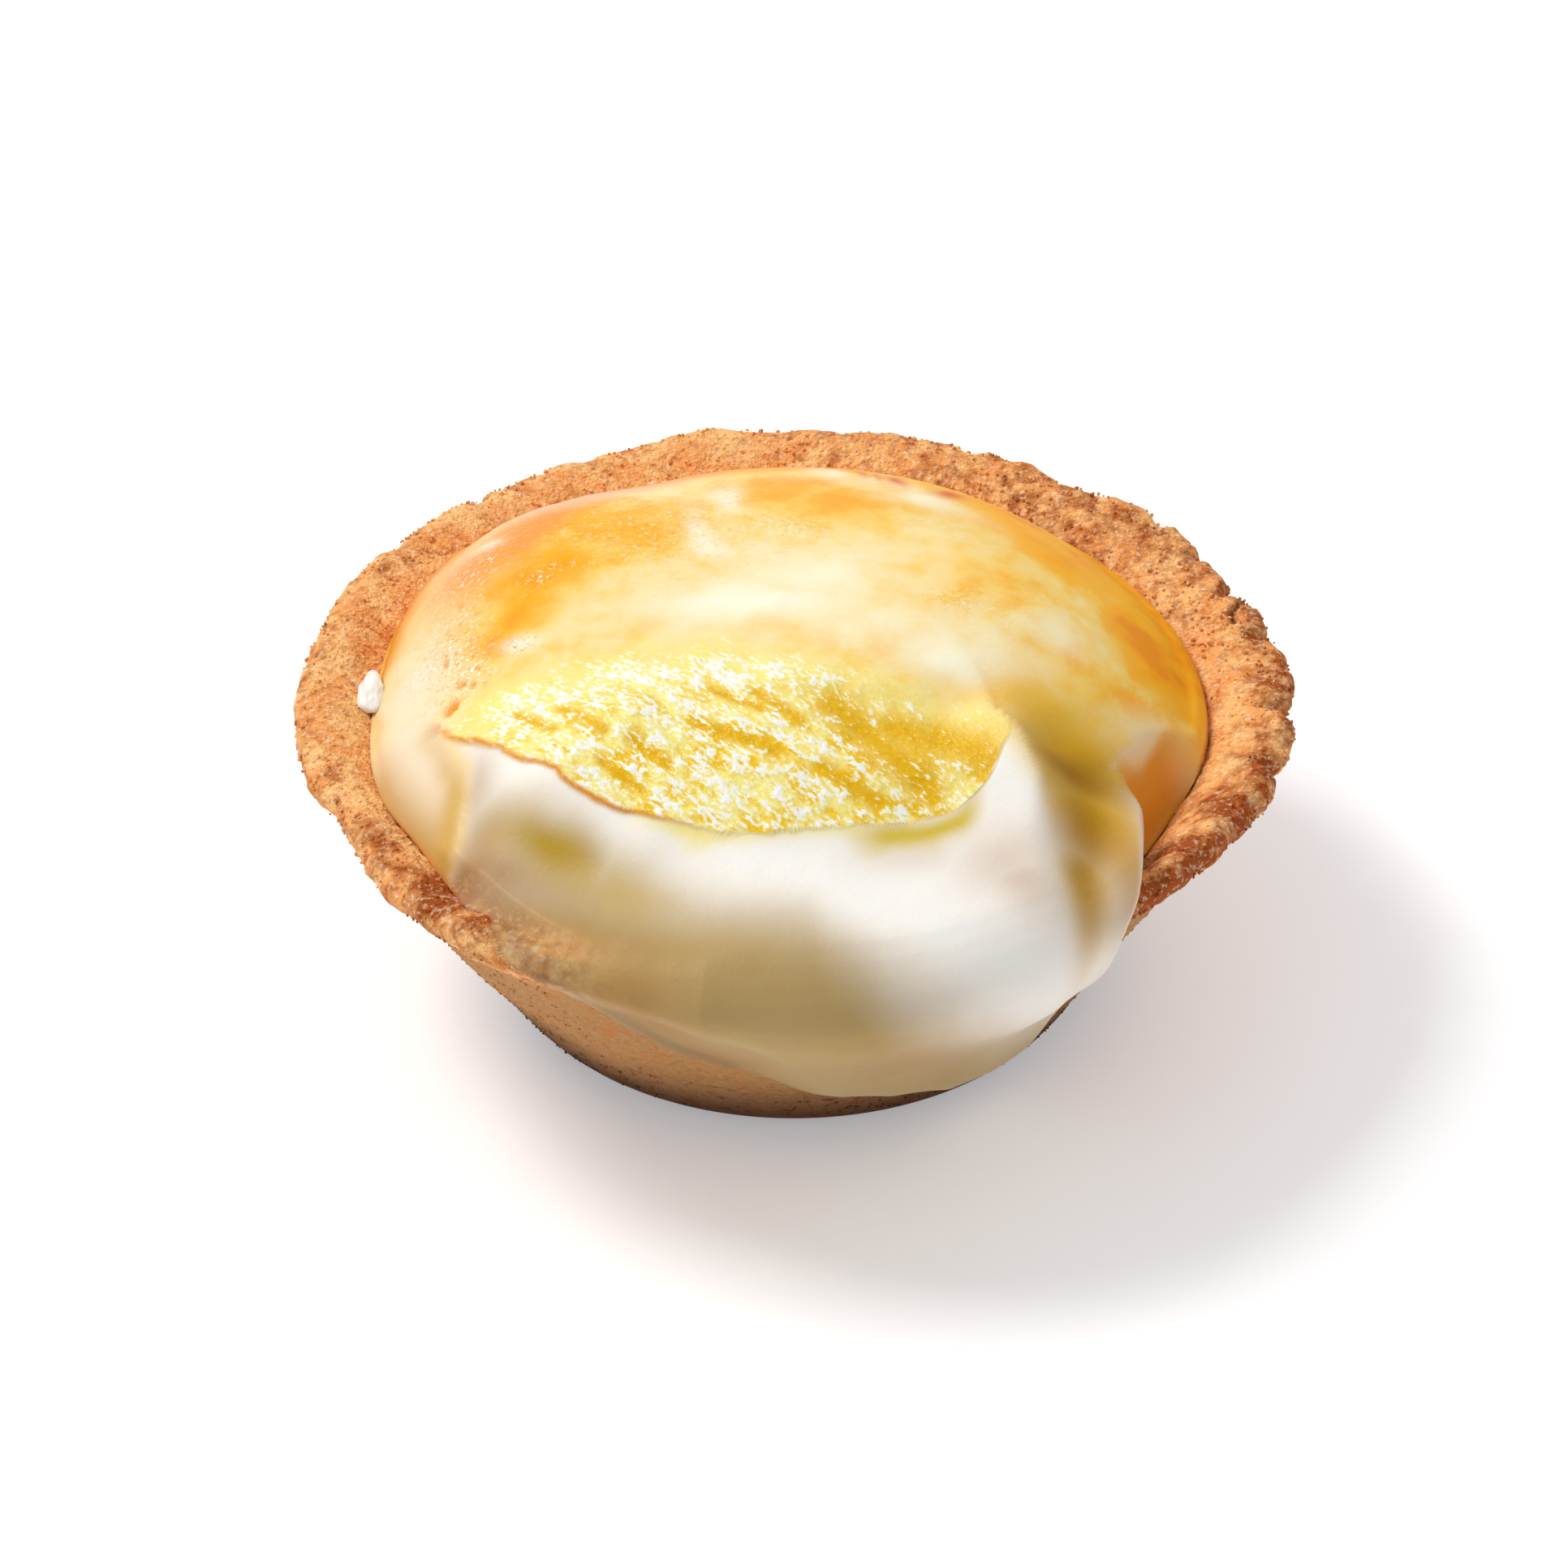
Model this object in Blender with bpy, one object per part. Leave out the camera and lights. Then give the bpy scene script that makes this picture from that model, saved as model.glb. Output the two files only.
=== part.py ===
"""A cheese tart: a round shortcrust shell, and the soft cheese that fills it, domes and runs down its front.

Shape functions work in millimetres, and new_object scales their points to metres. +Z is up, the tart stands
on the XY plane with its axis on Z, and its front, where the cheese has run over the rim, looks along -Y.

A place on the shell is an angle round the axis and a reach, the distance covered along the shell's upper
surface: out over its floor, up its inner wall, over the rim and down its outer wall. Angle and reach are the
polar coordinates of a flat chart, and the cheese is one patch of that chart.
"""

import bpy
import numpy as np

MILLIMETRE = 0.001

# Shell: real sizes
RIM_RADIUS = 37.5
RIM_HEIGHT = 24.0
BASE_RADIUS = 22.4
FLOOR_THICKNESS = 3.6
CONTACT_HEIGHT = 22.0
CORNER_ROUNDING = 0.7
CRUMB_SIZE = 6.0
CRUMB_DEPTH = 0.28
RIM_RIPPLE = 0.45
RIPPLES_ROUND_RIM = 3.0

# Shell: reach of its places
FLOOR_EDGE_REACH = 17.0
CONTACT_REACH = 31.4
CREST_REACH = 35.4
WALL_TOP_REACH = 41.0
WALL_FOOT_REACH = 48.0
FOOT_REACH = 52.0

# Shell: where it departs from a turned shape. Each lobe is its middle and half width in degrees, and how far
# the rim stands out there. The dent is where the wall leans in and the rim rises.
RIM_LOBES = ((90, 75, 0.5), (101, 10, 0.8), (120, 9, 0.3), (72, 14, 0.4), (42, 15, 1.0), (19, 6, 0.3),
             (8, 9, 0.7), (-6, 6, 0.5), (-18, 8, 0.3), (57, 9, -0.4), (152, 11, 0.6), (-155, 16, -1.1),
             (-128, 10, 0.2), (-1, 3, -0.5), (-12, 3, -0.4), (133, 16, 0.4))
DENT_ANGLE = -42.0
DENT_HALF_WIDTH = 44.0
DENT_DEPTH = 1.6
DENT_RIM_RISE = 0.5

# Cheese: the gap to the shell, and the dome
CHEESE_GAP = 0.35
RIM_GAP = 0.18
RIM_GAP_RIGHT = 0.33
DOME_TOP = 34.2
DOME_POWER = 3.3
SHOULDER_ANGLE = 152.0
SHOULDER_HALF_WIDTH = 38.0
SHOULDER_POWER = 1.6
SHOULDER_REACH = 1.2
BULGE_ANGLE = -150.0
BULGE_HALF_WIDTH = 45.0
BULGE_REACH = 1.5

# Cheese: the torn skin, the shelf of soft cheese in front of it, and a ridge, valley and hollow
TEAR_REACH = 24.5
SKIN_THICKNESS = 0.35
SHELF_HEIGHT = 28.5
SHELF_RISE_RIGHT = 0.9
SHELF_SAG = 0.95
SHELF_SAG_LEFT = 0.75
SHELF_DROP_ELSEWHERE = 9.0
RIDGE = ((15.6, -15.0), (17.4, -19.5), (17.6, -25.0), (18.6, -30.0), (20.0, -34.0))
RIDGE_RISE = 0.9
RIDGE_WIDTH = 2.6
VALLEY = ((19.2, -14.0), (21.6, -18.0), (21.6, -25.0), (21.6, -31.0))
VALLEY_DEPTH = 1.5
VALLEY_WIDTH = 2.8
WAVE_LOSS_ON_RIM = 0.55
HOLLOW = ((6.0, -15.0), (12.0, -13.5))
HOLLOW_DEPTH = 0.6
HOLLOW_WIDTH = 3.4

# Cheese: its edge as angle and reach, from its right side round the front to its left, and how thick it lies
# on the rim at some angles
FRONT_EDGE = ((-8, 31.4), (-11, 31.0), (-14, 30.0), (-17.5, 28.9), (-22, 28.5), (-27, 29.0), (-31, 30.0),
              (-36.5, 32.0), (-42, 34.6), (-46.3, 36.7), (-49.8, 38.5), (-50.3, 40.5), (-47.9, 43.2), (-44.5, 46.0),
              (-45, 47.8), (-52, 48.6), (-62, 48.2), (-74, 47.2), (-87, 46.6), (-100, 46.0), (-108, 45.2),
              (-115, 43.6), (-120, 41.0), (-125, 38.2), (-130, 35.8), (-136, 34.2), (-143, 33.4), (-150, 33))
RIM_COVER = ((-150, 1.2), (-128, 1.2), (-116, 1.6), (-100, 2.3), (-85, 2.8), (-70, 2.9), (-58, 3.0),
             (-48, 2.4))
WALL_COVER_SHARE = 0.4
LEAST_COVER = 1.0
DRAPE_ROUNDING = 4.0
LIP_FILL = 0.7
LIP_FILL_REACH = 41.0
SLUMP = 2.3
EDGE_ROUNDING = 1.3
EDGE_SMOOTHING = 1.2
EDGE_LIFT = 0.8
EDGE_LIFT_DEPTH = 4.0

# Fineness of the meshes
SHELL_SIDES = 92
SHELL_STEPS = (10.0, 16.5, 18.5, 20.5, 26.0, 30.5, 32.4, 34.0, 35.3, 36.4, 37.3, 38.1,
               38.9, 39.8, 41.0, 43.5, 46.0, 48.0, 49.3, 50.5, FOOT_REACH)
PATCH_CENTRE = (0.0, -31.0)
PATCH_SIDES = 96
TOP_SPREAD = 0.9
UNDER_SPREAD = 1.0
FRONT_CROWDING = 0.9
TOP_RINGS = 24
UNDER_RINGS = 20

CRUST_COLOUR = (0.72, 0.38, 0.16)
CRUST_ROUGHNESS = 0.75
CHEESE_COLOUR = (0.95, 0.78, 0.42)
CHEESE_ROUGHNESS = 0.35


# ---------------------------------------------------------------- helpers

def smooth_step(value, low, high):
    """0 below low, 1 above high, and a cubic between them."""
    share = np.clip((value - low) / (high - low), 0.0, 1.0)
    return share * share * (3.0 - 2.0 * share)


def plateau(value, low, low_end, high_start, high):
    """0 outside low and high, 1 from low_end to high_start, and smooth between."""
    return smooth_step(value, low, low_end) * (1.0 - smooth_step(value, high_start, high))


def smooth_max(first, second, blend):
    """The larger of two heights, with a fillet of about blend where they cross."""
    return 0.5 * (first + second + np.hypot(first - second, blend))


def turn_between(angle, centre):
    """The angle in degrees from centre to angle, from -180 to 180."""
    return (angle - centre + 180.0) % 360.0 - 180.0


def hump(angle, centre, half_width):
    """A bell round the axis: 1 at centre, and 0 past half_width degrees to either side."""
    share = np.clip(np.abs(turn_between(angle, centre)) / half_width, 0.0, 1.0)
    return 0.5 + 0.5 * np.cos(np.pi * share)


def near_line(x, y, points, width):
    """1 on the open line through points, falling off over width to either side."""
    nearest = np.full(np.shape(x), np.inf)
    for (x0, y0), (x1, y1) in zip(points[:-1], points[1:]):
        run_x, run_y = x1 - x0, y1 - y0
        share = np.clip(((x - x0) * run_x + (y - y0) * run_y) / (run_x ** 2 + run_y ** 2), 0.0, 1.0)
        nearest = np.minimum(nearest, np.hypot(x - x0 - share * run_x, y - y0 - share * run_y))
    return np.exp(-((nearest / width) ** 2))


def lattice_value(column, row, layer):
    """A fixed value from 0 to 1 for each corner of a unit lattice."""
    mixed = np.sin(column * 127.1 + row * 311.7 + layer * 74.7) * 43758.5453
    return mixed - np.floor(mixed)


def crumble(x, y, z, size):
    """Smooth noise from -1 to 1 whose lumps are about size across."""
    x, y, z = x / size, y / size, z / size
    column, row, layer = np.floor(x), np.floor(y), np.floor(z)
    along, across, up = (smooth_step(part, 0.0, 1.0) for part in (x - column, y - row, z - layer))
    total = np.zeros(np.shape(x))
    for i in (0, 1):
        for j in (0, 1):
            for k in (0, 1):
                weight = (along if i else 1 - along) * (across if j else 1 - across) * (up if k else 1 - up)
                total = total + weight * lattice_value(column + i, row + j, layer + k)
    return 2.0 * total - 1.0


# ---------------------------------------------------------------- shell

# reach, radius and height down the shell's upper surface, before its corners are rounded
SHELL_LINE = np.array([
    (0.0, 0.0, FLOOR_THICKNESS),
    (FLOOR_EDGE_REACH, FLOOR_EDGE_REACH, FLOOR_THICKNESS),
    (19.6, 19.4, FLOOR_THICKNESS + 2.0),
    (CONTACT_REACH, 31.2, CONTACT_HEIGHT),
    (33.5, 33.4, RIM_HEIGHT - 0.6),
    (CREST_REACH, RIM_RADIUS - 2.1, RIM_HEIGHT),
    (36.9, RIM_RADIUS - 0.6, RIM_HEIGHT - 0.2),
    (38.0, RIM_RADIUS + 0.1, RIM_HEIGHT - 1.2),
    (38.8, RIM_RADIUS - 0.3, RIM_HEIGHT - 2.3),
    (39.8, RIM_RADIUS - 1.4, RIM_HEIGHT - 3.2),
    (WALL_TOP_REACH, RIM_RADIUS - 2.9, RIM_HEIGHT - 4.6),
    (WALL_FOOT_REACH, BASE_RADIUS + 1.2, 3.4),
    (49.4, BASE_RADIUS - 0.2, 1.2),
    (51.0, BASE_RADIUS - 2.8, 0.0),
    (FOOT_REACH + 1.0, BASE_RADIUS - 4.6, 0.0),
])


def shell_line(reach, rounding=CORNER_ROUNDING):
    """Radius and height at each reach: the line averaged over rounding to either side, which rounds it."""
    window = np.linspace(-rounding, rounding, 13)
    spots = reach[..., None] + window
    radius = np.sign(spots) * np.interp(np.abs(spots), SHELL_LINE[:, 0], SHELL_LINE[:, 1])
    height = np.interp(np.abs(spots), SHELL_LINE[:, 0], SHELL_LINE[:, 2])
    return radius.mean(-1), height.mean(-1)


def shell_normal(reach, rounding=CORNER_ROUNDING):
    """The direction that points out of the shell's upper surface, as its radial and upward parts."""
    behind = shell_line(reach - 0.4, rounding)
    ahead = shell_line(reach + 0.4, rounding)
    along_radius, along_height = ahead[0] - behind[0], ahead[1] - behind[1]
    length = np.hypot(along_radius, along_height)
    return -along_height / length, along_radius / length


def rim_swell(angle):
    """How far the rim stands out of a true circle."""
    return sum(height * hump(angle, middle, half_width) for middle, half_width, height in RIM_LOBES)


def uneven(angle, reach):
    """How far the rim and wall stand off the turned line at each place, outward and upward."""
    on_rim = plateau(reach, 32.0, 36.0, 40.0, 45.0)
    on_wall = plateau(reach, 31.0, 38.0, 44.0, 50.0)
    dent = hump(angle, DENT_ANGLE, DENT_HALF_WIDTH)
    turn = np.radians(angle)
    ripple = crumble(np.cos(turn) * RIPPLES_ROUND_RIM, np.sin(turn) * RIPPLES_ROUND_RIM, 0.5, 1.0)
    outward = on_rim * rim_swell(angle) - on_wall * DENT_DEPTH * dent
    upward = on_rim * (DENT_RIM_RISE * dent + RIM_RIPPLE * ripple)
    return outward, upward


def shell_surface(angle, reach, lift=0.0):
    """Points of the shell's upper surface, or lift off it: the turned line, made uneven, and its crumb."""
    radius, height = shell_line(reach)
    out, up = shell_normal(reach)
    outward, upward = uneven(angle, reach)
    radius, height = radius + outward, height + upward
    turn = np.radians(angle)
    lumps = crumble(radius * np.cos(turn), radius * np.sin(turn), height, CRUMB_SIZE)
    rise = lift + CRUMB_DEPTH * plateau(reach, 31.0, 34.0, 46.0, 49.0) * lumps
    radius, height = radius + out * rise, height + up * rise
    return np.stack([radius * np.cos(turn), radius * np.sin(turn), height], axis=-1)


# ---------------------------------------------------------------- cheese

def contact_reach(angle):
    """The reach at which the dome meets the shell away from the front."""
    shoulder = SHOULDER_REACH * hump(angle, SHOULDER_ANGLE, SHOULDER_HALF_WIDTH)
    return CONTACT_REACH + shoulder + BULGE_REACH * hump(angle, BULGE_ANGLE, BULGE_HALF_WIDTH)


def even_points(corners, count, crowding=0.0):
    """count points along the closed line through corners, evenly spaced or crowded towards the front."""
    closed = np.vstack([corners, corners[:1]])
    steps = np.hypot(*np.diff(closed, axis=0).T)
    steps = steps * (1.0 + crowding * (1.0 - smooth_step(closed[1:, 1], -24.0, -8.0)))
    length = np.concatenate([[0.0], np.cumsum(steps)])
    spots = np.linspace(0.0, length[-1], count, endpoint=False)
    return np.stack([np.interp(spots, length, closed[:, i]) for i in (0, 1)], axis=-1)


def patch_edge(count):
    """The cheese's edge as count points of the chart, clockwise from above and smoothed along its run."""
    front_angle, front_reach = np.array(FRONT_EDGE).T
    back_angle = np.arange(front_angle[-1] + 360.0, front_angle[0], -4.0)[1:]
    angle = np.radians(np.concatenate([front_angle, back_angle]))
    reach = np.concatenate([front_reach, contact_reach(back_angle)])
    corners = np.stack([reach * np.cos(angle), reach * np.sin(angle)], axis=-1)[::-1]
    fine = even_points(corners, 1200)
    spacing = np.hypot(*(fine[1] - fine[0]))
    shifts = range(-int(EDGE_SMOOTHING / spacing), int(EDGE_SMOOTHING / spacing) + 1)
    fine = np.mean([np.roll(fine, shift, axis=0) for shift in shifts], axis=0)
    return even_points(fine, count, FRONT_CROWDING)


def edge_distance(x, y, edge):
    """How far each place of the chart is from the cheese's edge."""
    run = np.roll(edge, -1, axis=0) - edge
    from_x, from_y = x[..., None] - edge[:, 0], y[..., None] - edge[:, 1]
    share = np.clip((from_x * run[:, 0] + from_y * run[:, 1]) / (run ** 2).sum(-1), 0.0, 1.0)
    return np.hypot(from_x - share * run[:, 0], from_y - share * run[:, 1]).min(-1)


def rim_cover(angle):
    """How thick the cheese lies on the rim."""
    spots, cover = np.array(RIM_COVER).T
    return np.interp(turn_between(angle, -90.0), spots + 90.0, cover)


def dome_height(angle, reach):
    """Height of the dome: flat on top, steep at the sides, and fuller at its back left shoulder."""
    edge = contact_reach(angle)
    edge_height = shell_line(edge)[1]
    power = DOME_POWER + SHOULDER_POWER * hump(angle, SHOULDER_ANGLE, SHOULDER_HALF_WIDTH)
    return DOME_TOP - (DOME_TOP - edge_height) * (np.minimum(reach, 40.0) / edge) ** power


def shelf_height(angle, reach):
    """Height of the soft cheese between the torn skin and the rim's crest, sunk out of the way elsewhere."""
    top = SHELF_HEIGHT + SHELF_RISE_RIGHT * hump(angle, -52.0, 30.0)
    foot = RIM_HEIGHT + rim_cover(angle)
    share = np.clip((reach - TEAR_REACH) / (CREST_REACH - TEAR_REACH), -0.5, 1.0)
    sag = SHELF_SAG + SHELF_SAG_LEFT * hump(angle, -135.0, 50.0)
    off_front = 1.0 - plateau(angle, -152.0, -128.0, -44.0, -16.0)
    return foot + (top - foot) * (1.0 - share) ** sag - SHELF_DROP_ELSEWHERE * off_front


def skin_step(angle, reach):
    """How far the soft cheese lies below the baked skin that has torn off it."""
    tear = TEAR_REACH + 2.6 * hump(angle, -163.0, 18.0) - 4.5 * hump(angle, -38.0, 14.0)
    across_front = plateau(angle, -158.0, -146.0, -58.0, -42.0)
    return SKIN_THICKNESS * across_front * smooth_step(reach, tear - 0.4, tear + 1.2)


def ridge_and_valley(x, y):
    """The ridge that the cheese pulled up as it ran, and the valley on the ridge's right."""
    ridge = RIDGE_RISE * near_line(x, y, RIDGE, RIDGE_WIDTH)
    return ridge - VALLEY_DEPTH * near_line(x, y, VALLEY, VALLEY_WIDTH)


def cheese_form(x, y, angle, reach):
    """Points of the cheese before it slumps: a height over the plan inside the rim, a drape outside it."""
    bare_radius, bare_height = shell_line(reach)
    outward, upward = uneven(angle, reach)
    out, up = shell_normal(reach, DRAPE_ROUNDING)
    cover = rim_cover(angle)
    wave = ridge_and_valley(x, y)

    on_wall = smooth_step(reach, CREST_REACH + 2.0, WALL_TOP_REACH + 4.0)
    fill = LIP_FILL * smooth_step(cover, 1.1, 1.9) * np.exp(-((reach - LIP_FILL_REACH) / 2.2) ** 2)
    lift = cover * (1.0 - (1.0 - WALL_COVER_SHARE) * on_wall) + fill
    lift = lift + wave * (1.0 - WAVE_LOSS_ON_RIM * smooth_step(reach, 33.0, 37.0))
    drape_radius = bare_radius + outward + out * lift
    drape_height = bare_height + upward + up * lift

    plan_height = smooth_max(dome_height(angle, reach), shelf_height(angle, reach), 0.9)
    plan_height = plan_height + SKIN_THICKNESS - skin_step(angle, reach) + wave
    plan_height = plan_height - HOLLOW_DEPTH * near_line(x, y, HOLLOW, HOLLOW_WIDTH)
    plan_height = smooth_max(plan_height, bare_height + upward + LEAST_COVER, 0.45)

    share = smooth_step(reach, CREST_REACH - 1.2, CREST_REACH + 2.2)
    radius = reach + (drape_radius - reach) * share
    height = plan_height + (drape_height - plan_height) * share
    turn = np.radians(angle)
    return np.stack([radius * np.cos(turn), radius * np.sin(turn), height], axis=-1)


def cheese_top(x, y, angle, reach):
    """Points of the cheese's free top: its form averaged over a window of reach, which slumps it."""
    window = SLUMP * smooth_step(reach, TEAR_REACH + 1.5, CONTACT_REACH)
    window = window * smooth_step(rim_cover(angle), 1.3, 2.3)
    scales = 1.0 + np.linspace(-1.0, 1.0, 7)[:, None, None] * window / reach
    return cheese_form(x * scales, y * scales, angle + 0.0 * scales, reach * scales).mean(0)


def cheese_gap(angle, reach):
    """The gap between cheese and shell, wider over the rim, where flat faces would cut its bend."""
    over_rim = RIM_GAP + RIM_GAP_RIGHT * hump(angle, -52.0, 14.0)
    return CHEESE_GAP + over_rim * plateau(reach, 26.0, 30.5, 41.0, 44.0)


def chart_places(edge, rings, spread):
    """x, y, angle and reach of rings places of the chart, from next to the patch's centre out to its edge."""
    share = np.linspace(0.0, 1.0, rings + 1)[1:] ** spread
    centre = np.array(PATCH_CENTRE)
    x, y = np.moveaxis(centre + share[:, None, None] * (edge - centre), -1, 0)
    return x, y, np.degrees(np.arctan2(y, x)), np.hypot(x, y)


def cheese_layers(x, y, angle, reach, edge):
    """Points of the underside and of the top, which meet at the edge; on the right the edge hangs free."""
    distance = edge_distance(x, y, edge)
    under = shell_surface(angle, reach, cheese_gap(angle, reach))
    free = cheese_top(x, y, angle, reach)
    hang = EDGE_LIFT * plateau(angle, -44.0, -34.0, -15.0, -8.0)
    hang = hang * (1.0 - smooth_step(distance, 0.0, EDGE_LIFT_DEPTH))
    under = under + (free - under) * hang[..., None]
    near = np.clip(distance / EDGE_ROUNDING, 0.0, 1.0)
    share = np.sqrt(1.0 - (1.0 - near) ** 2)
    return under, under + (free - under) * share[..., None]


# ---------------------------------------------------------------- meshes

def closed_skin(first_pole, rings, last_pole):
    """Points and faces of a closed skin: a fan from a pole, quads from ring to ring, and a fan to a pole."""
    sides = len(rings[0])
    points = np.vstack([first_pole[None], *rings, last_pole[None]])
    last = len(points) - 1
    faces = []
    for i in range(sides):
        j = (i + 1) % sides
        faces.append((0, 1 + i, 1 + j))
        faces.append((last, last - sides + j, last - sides + i))
        for start in range(1, last - sides, sides):
            faces.append((start + i, start + sides + i, start + sides + j, start + j))
    return points, faces


def food_material(name, colour, roughness):
    """A plain food surface of one colour."""
    material = bpy.data.materials.new(name)
    material.use_nodes = True
    surface = material.node_tree.nodes["Principled BSDF"]
    surface.inputs["Base Color"].default_value = (*colour, 1.0)
    surface.inputs["Roughness"].default_value = roughness
    surface.inputs["Metallic"].default_value = 0.0
    return material


def new_object(name, points, faces, material):
    """A smooth-shaded mesh object from points in millimetres."""
    mesh = bpy.data.meshes.new(name)
    mesh.from_pydata((points * MILLIMETRE).tolist(), [], faces)
    mesh.materials.append(material)
    mesh.shade_smooth()
    thing = bpy.data.objects.new(name, mesh)
    bpy.context.collection.objects.link(thing)
    return thing


def make_shell():
    """The shortcrust shell, from the middle of its inner floor over the rim to the middle of its base."""
    angle = np.arange(SHELL_SIDES) * 360.0 / SHELL_SIDES
    rings = [shell_surface(angle, np.full(SHELL_SIDES, reach)) for reach in SHELL_STEPS]
    floor_middle = np.array((0.0, 0.0, FLOOR_THICKNESS))
    base_middle = np.zeros(3)
    points, faces = closed_skin(floor_middle, rings, base_middle)
    return new_object("tart_shell", points, faces, food_material("shortcrust", CRUST_COLOUR, CRUST_ROUGHNESS))


def make_cheese():
    """The cheese, from the top of its patch's centre out to its edge and back under itself."""
    edge = patch_edge(PATCH_SIDES)
    top = cheese_layers(*chart_places(edge, TOP_RINGS, TOP_SPREAD), edge)[1]
    under = cheese_layers(*chart_places(edge, UNDER_RINGS, UNDER_SPREAD), edge)[0]
    x, y = np.array(PATCH_CENTRE).reshape(2, 1, 1)
    pole_under, pole_top = cheese_layers(x, y, np.degrees(np.arctan2(y, x)), np.hypot(x, y), edge)
    rings = [*top, *under[-2::-1]]
    points, faces = closed_skin(pole_top[0, 0], rings, pole_under[0, 0])
    material = food_material("baked_cheese", CHEESE_COLOUR, CHEESE_ROUGHNESS)
    return new_object("cheese_filling", points, faces, material)


def main():
    for thing in list(bpy.data.objects):
        bpy.data.objects.remove(thing)
    make_shell()
    make_cheese()


main()
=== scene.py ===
"""Looks of a baked cheese tart: a crumbly shortcrust shell, and a glazed filling that ran over its rim.

Shapes are in millimetres in the solids' frame: +Z up, the front along -Y, the origin at the foot's middle.
A place on the shell is an angle round the axis and a reach along its upper surface: over the floor, up the
inner wall, over the rim and down the outer wall. They are polar coordinates of a chart, and the cheese is one
patch of that chart. Inside the rim, chart and plan are nearly the same.
"""

import math

import bpy
import numpy as np
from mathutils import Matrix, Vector


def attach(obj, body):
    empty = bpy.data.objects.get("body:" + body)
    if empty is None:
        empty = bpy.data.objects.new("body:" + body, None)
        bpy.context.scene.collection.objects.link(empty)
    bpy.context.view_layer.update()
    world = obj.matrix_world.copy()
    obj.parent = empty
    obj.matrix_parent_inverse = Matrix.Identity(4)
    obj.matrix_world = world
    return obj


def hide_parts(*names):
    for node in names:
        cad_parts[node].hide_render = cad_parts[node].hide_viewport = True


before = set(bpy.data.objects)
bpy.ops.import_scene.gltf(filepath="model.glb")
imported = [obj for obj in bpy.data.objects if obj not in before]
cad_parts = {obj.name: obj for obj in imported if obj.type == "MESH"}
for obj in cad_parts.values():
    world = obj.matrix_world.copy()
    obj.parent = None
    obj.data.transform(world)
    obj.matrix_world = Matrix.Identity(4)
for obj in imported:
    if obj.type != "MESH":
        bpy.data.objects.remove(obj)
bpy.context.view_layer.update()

MILLIMETRE = 0.001

# ---- sizes of the shell, in millimetres
RIM_RADIUS = 37.5
RIM_HEIGHT = 24
BASE_RADIUS = 22.4
FLOOR_THICKNESS = 3.6
CONTACT_HEIGHT = 22
CORNER_ROUNDING = 0.7
FLOOR_EDGE_REACH = 17
CONTACT_REACH = 31.4
CREST_REACH = 35.4
WALL_TOP_REACH = 41
WALL_FOOT_REACH = 48
FOOT_REACH = 52
# how far the rim stands out or in: angle, half width in degrees and height
RIM_LOBES = ((90, 75, 0.5), (101, 10, 0.8), (120, 9, 0.3), (72, 14, 0.4), (42, 15, 1), (19, 6, 0.3),
    (8, 9, 0.7), (-6, 6, 0.5), (-18, 8, 0.3), (57, 9, -0.4), (152, 11, 0.6), (-155, 16, -1.1),
    (-128, 10, 0.2), (-1, 3, -0.5), (-12, 3, -0.4), (133, 16, 0.4), (24.6, 1.8, -0.45), (14.6, 1.6, -0.5),
    (-20.5, 1.5, -0.35), (63, 2, -0.3), (84, 2, -0.3))
# sharp nicks of the rim's outer edge: angle, half width and depth
RIM_NICKS = ((24.6, 2.2, 0.5), (15, 1.8, 0.5), (-0.8, 2, 0.9), (-12.2, 2, 0.6), (-20.5, 1.6, 0.4),
    (41, 2.4, 0.4), (55, 2, 0.3), (68, 2.4, 0.35), (33, 1.6, 0.3), (7, 1.4, 0.3), (116, 2.6, 0.3),
    (131, 2, 0.3), (146, 2.4, 0.25), (-160, 2.2, 0.25))
# places round the axis, for hump: angle and half width in degrees
DENT = (-42, 44)
DENT_DEPTH = 1.6
DENT_RIM_RISE = 0.5
RIM_RIPPLE = 0.45
RIPPLES_ROUND_RIM = 3
LUMP_SIZE = 6
LUMP_DEPTH = 0.28

# ---- sizes of the cheese, in millimetres
DOME_TOP = 34.2
DOME_POWER = 3.3
SHOULDER = (152, 38)
SHOULDER_POWER = 1.6
SHOULDER_REACH = 1.2
BULGE = (-150, 45)
BULGE_REACH = 1.5
TEAR_REACH = 24.5
SHELF_HEIGHT = 28.5
SHELF_RISE_RIGHT = 0.9
SHELF_SAG = 0.95
SHELF_SAG_LEFT = 0.75
SHELF_SINK = 9
# width of the fillet between dome and run, and how much wider it is at the right and the left
BLEND = 0.9
BLEND_RIGHT = 4.4
BLEND_LEFT = 2.6
RIDGE = ((15.6, -15), (17.4, -19.5), (17.6, -25), (18.6, -30), (20, -34))
RIDGE_RISE = 1.1
RIDGE_WIDTHS = (3.2, 1.7)
RIDGE_CREST = 0.35
VALLEY = ((19.2, -14), (21.6, -18), (21.6, -25), (21.6, -31))
VALLEY_DEPTH = 1.7
VALLEY_WIDTH = 2.8
WAVE_LOSS_ON_RIM = 0.55
HOLLOW = ((6, -15), (12, -13.5))
HOLLOW_DEPTH = 0.6
HOLLOW_WIDTH = 3.4
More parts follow.
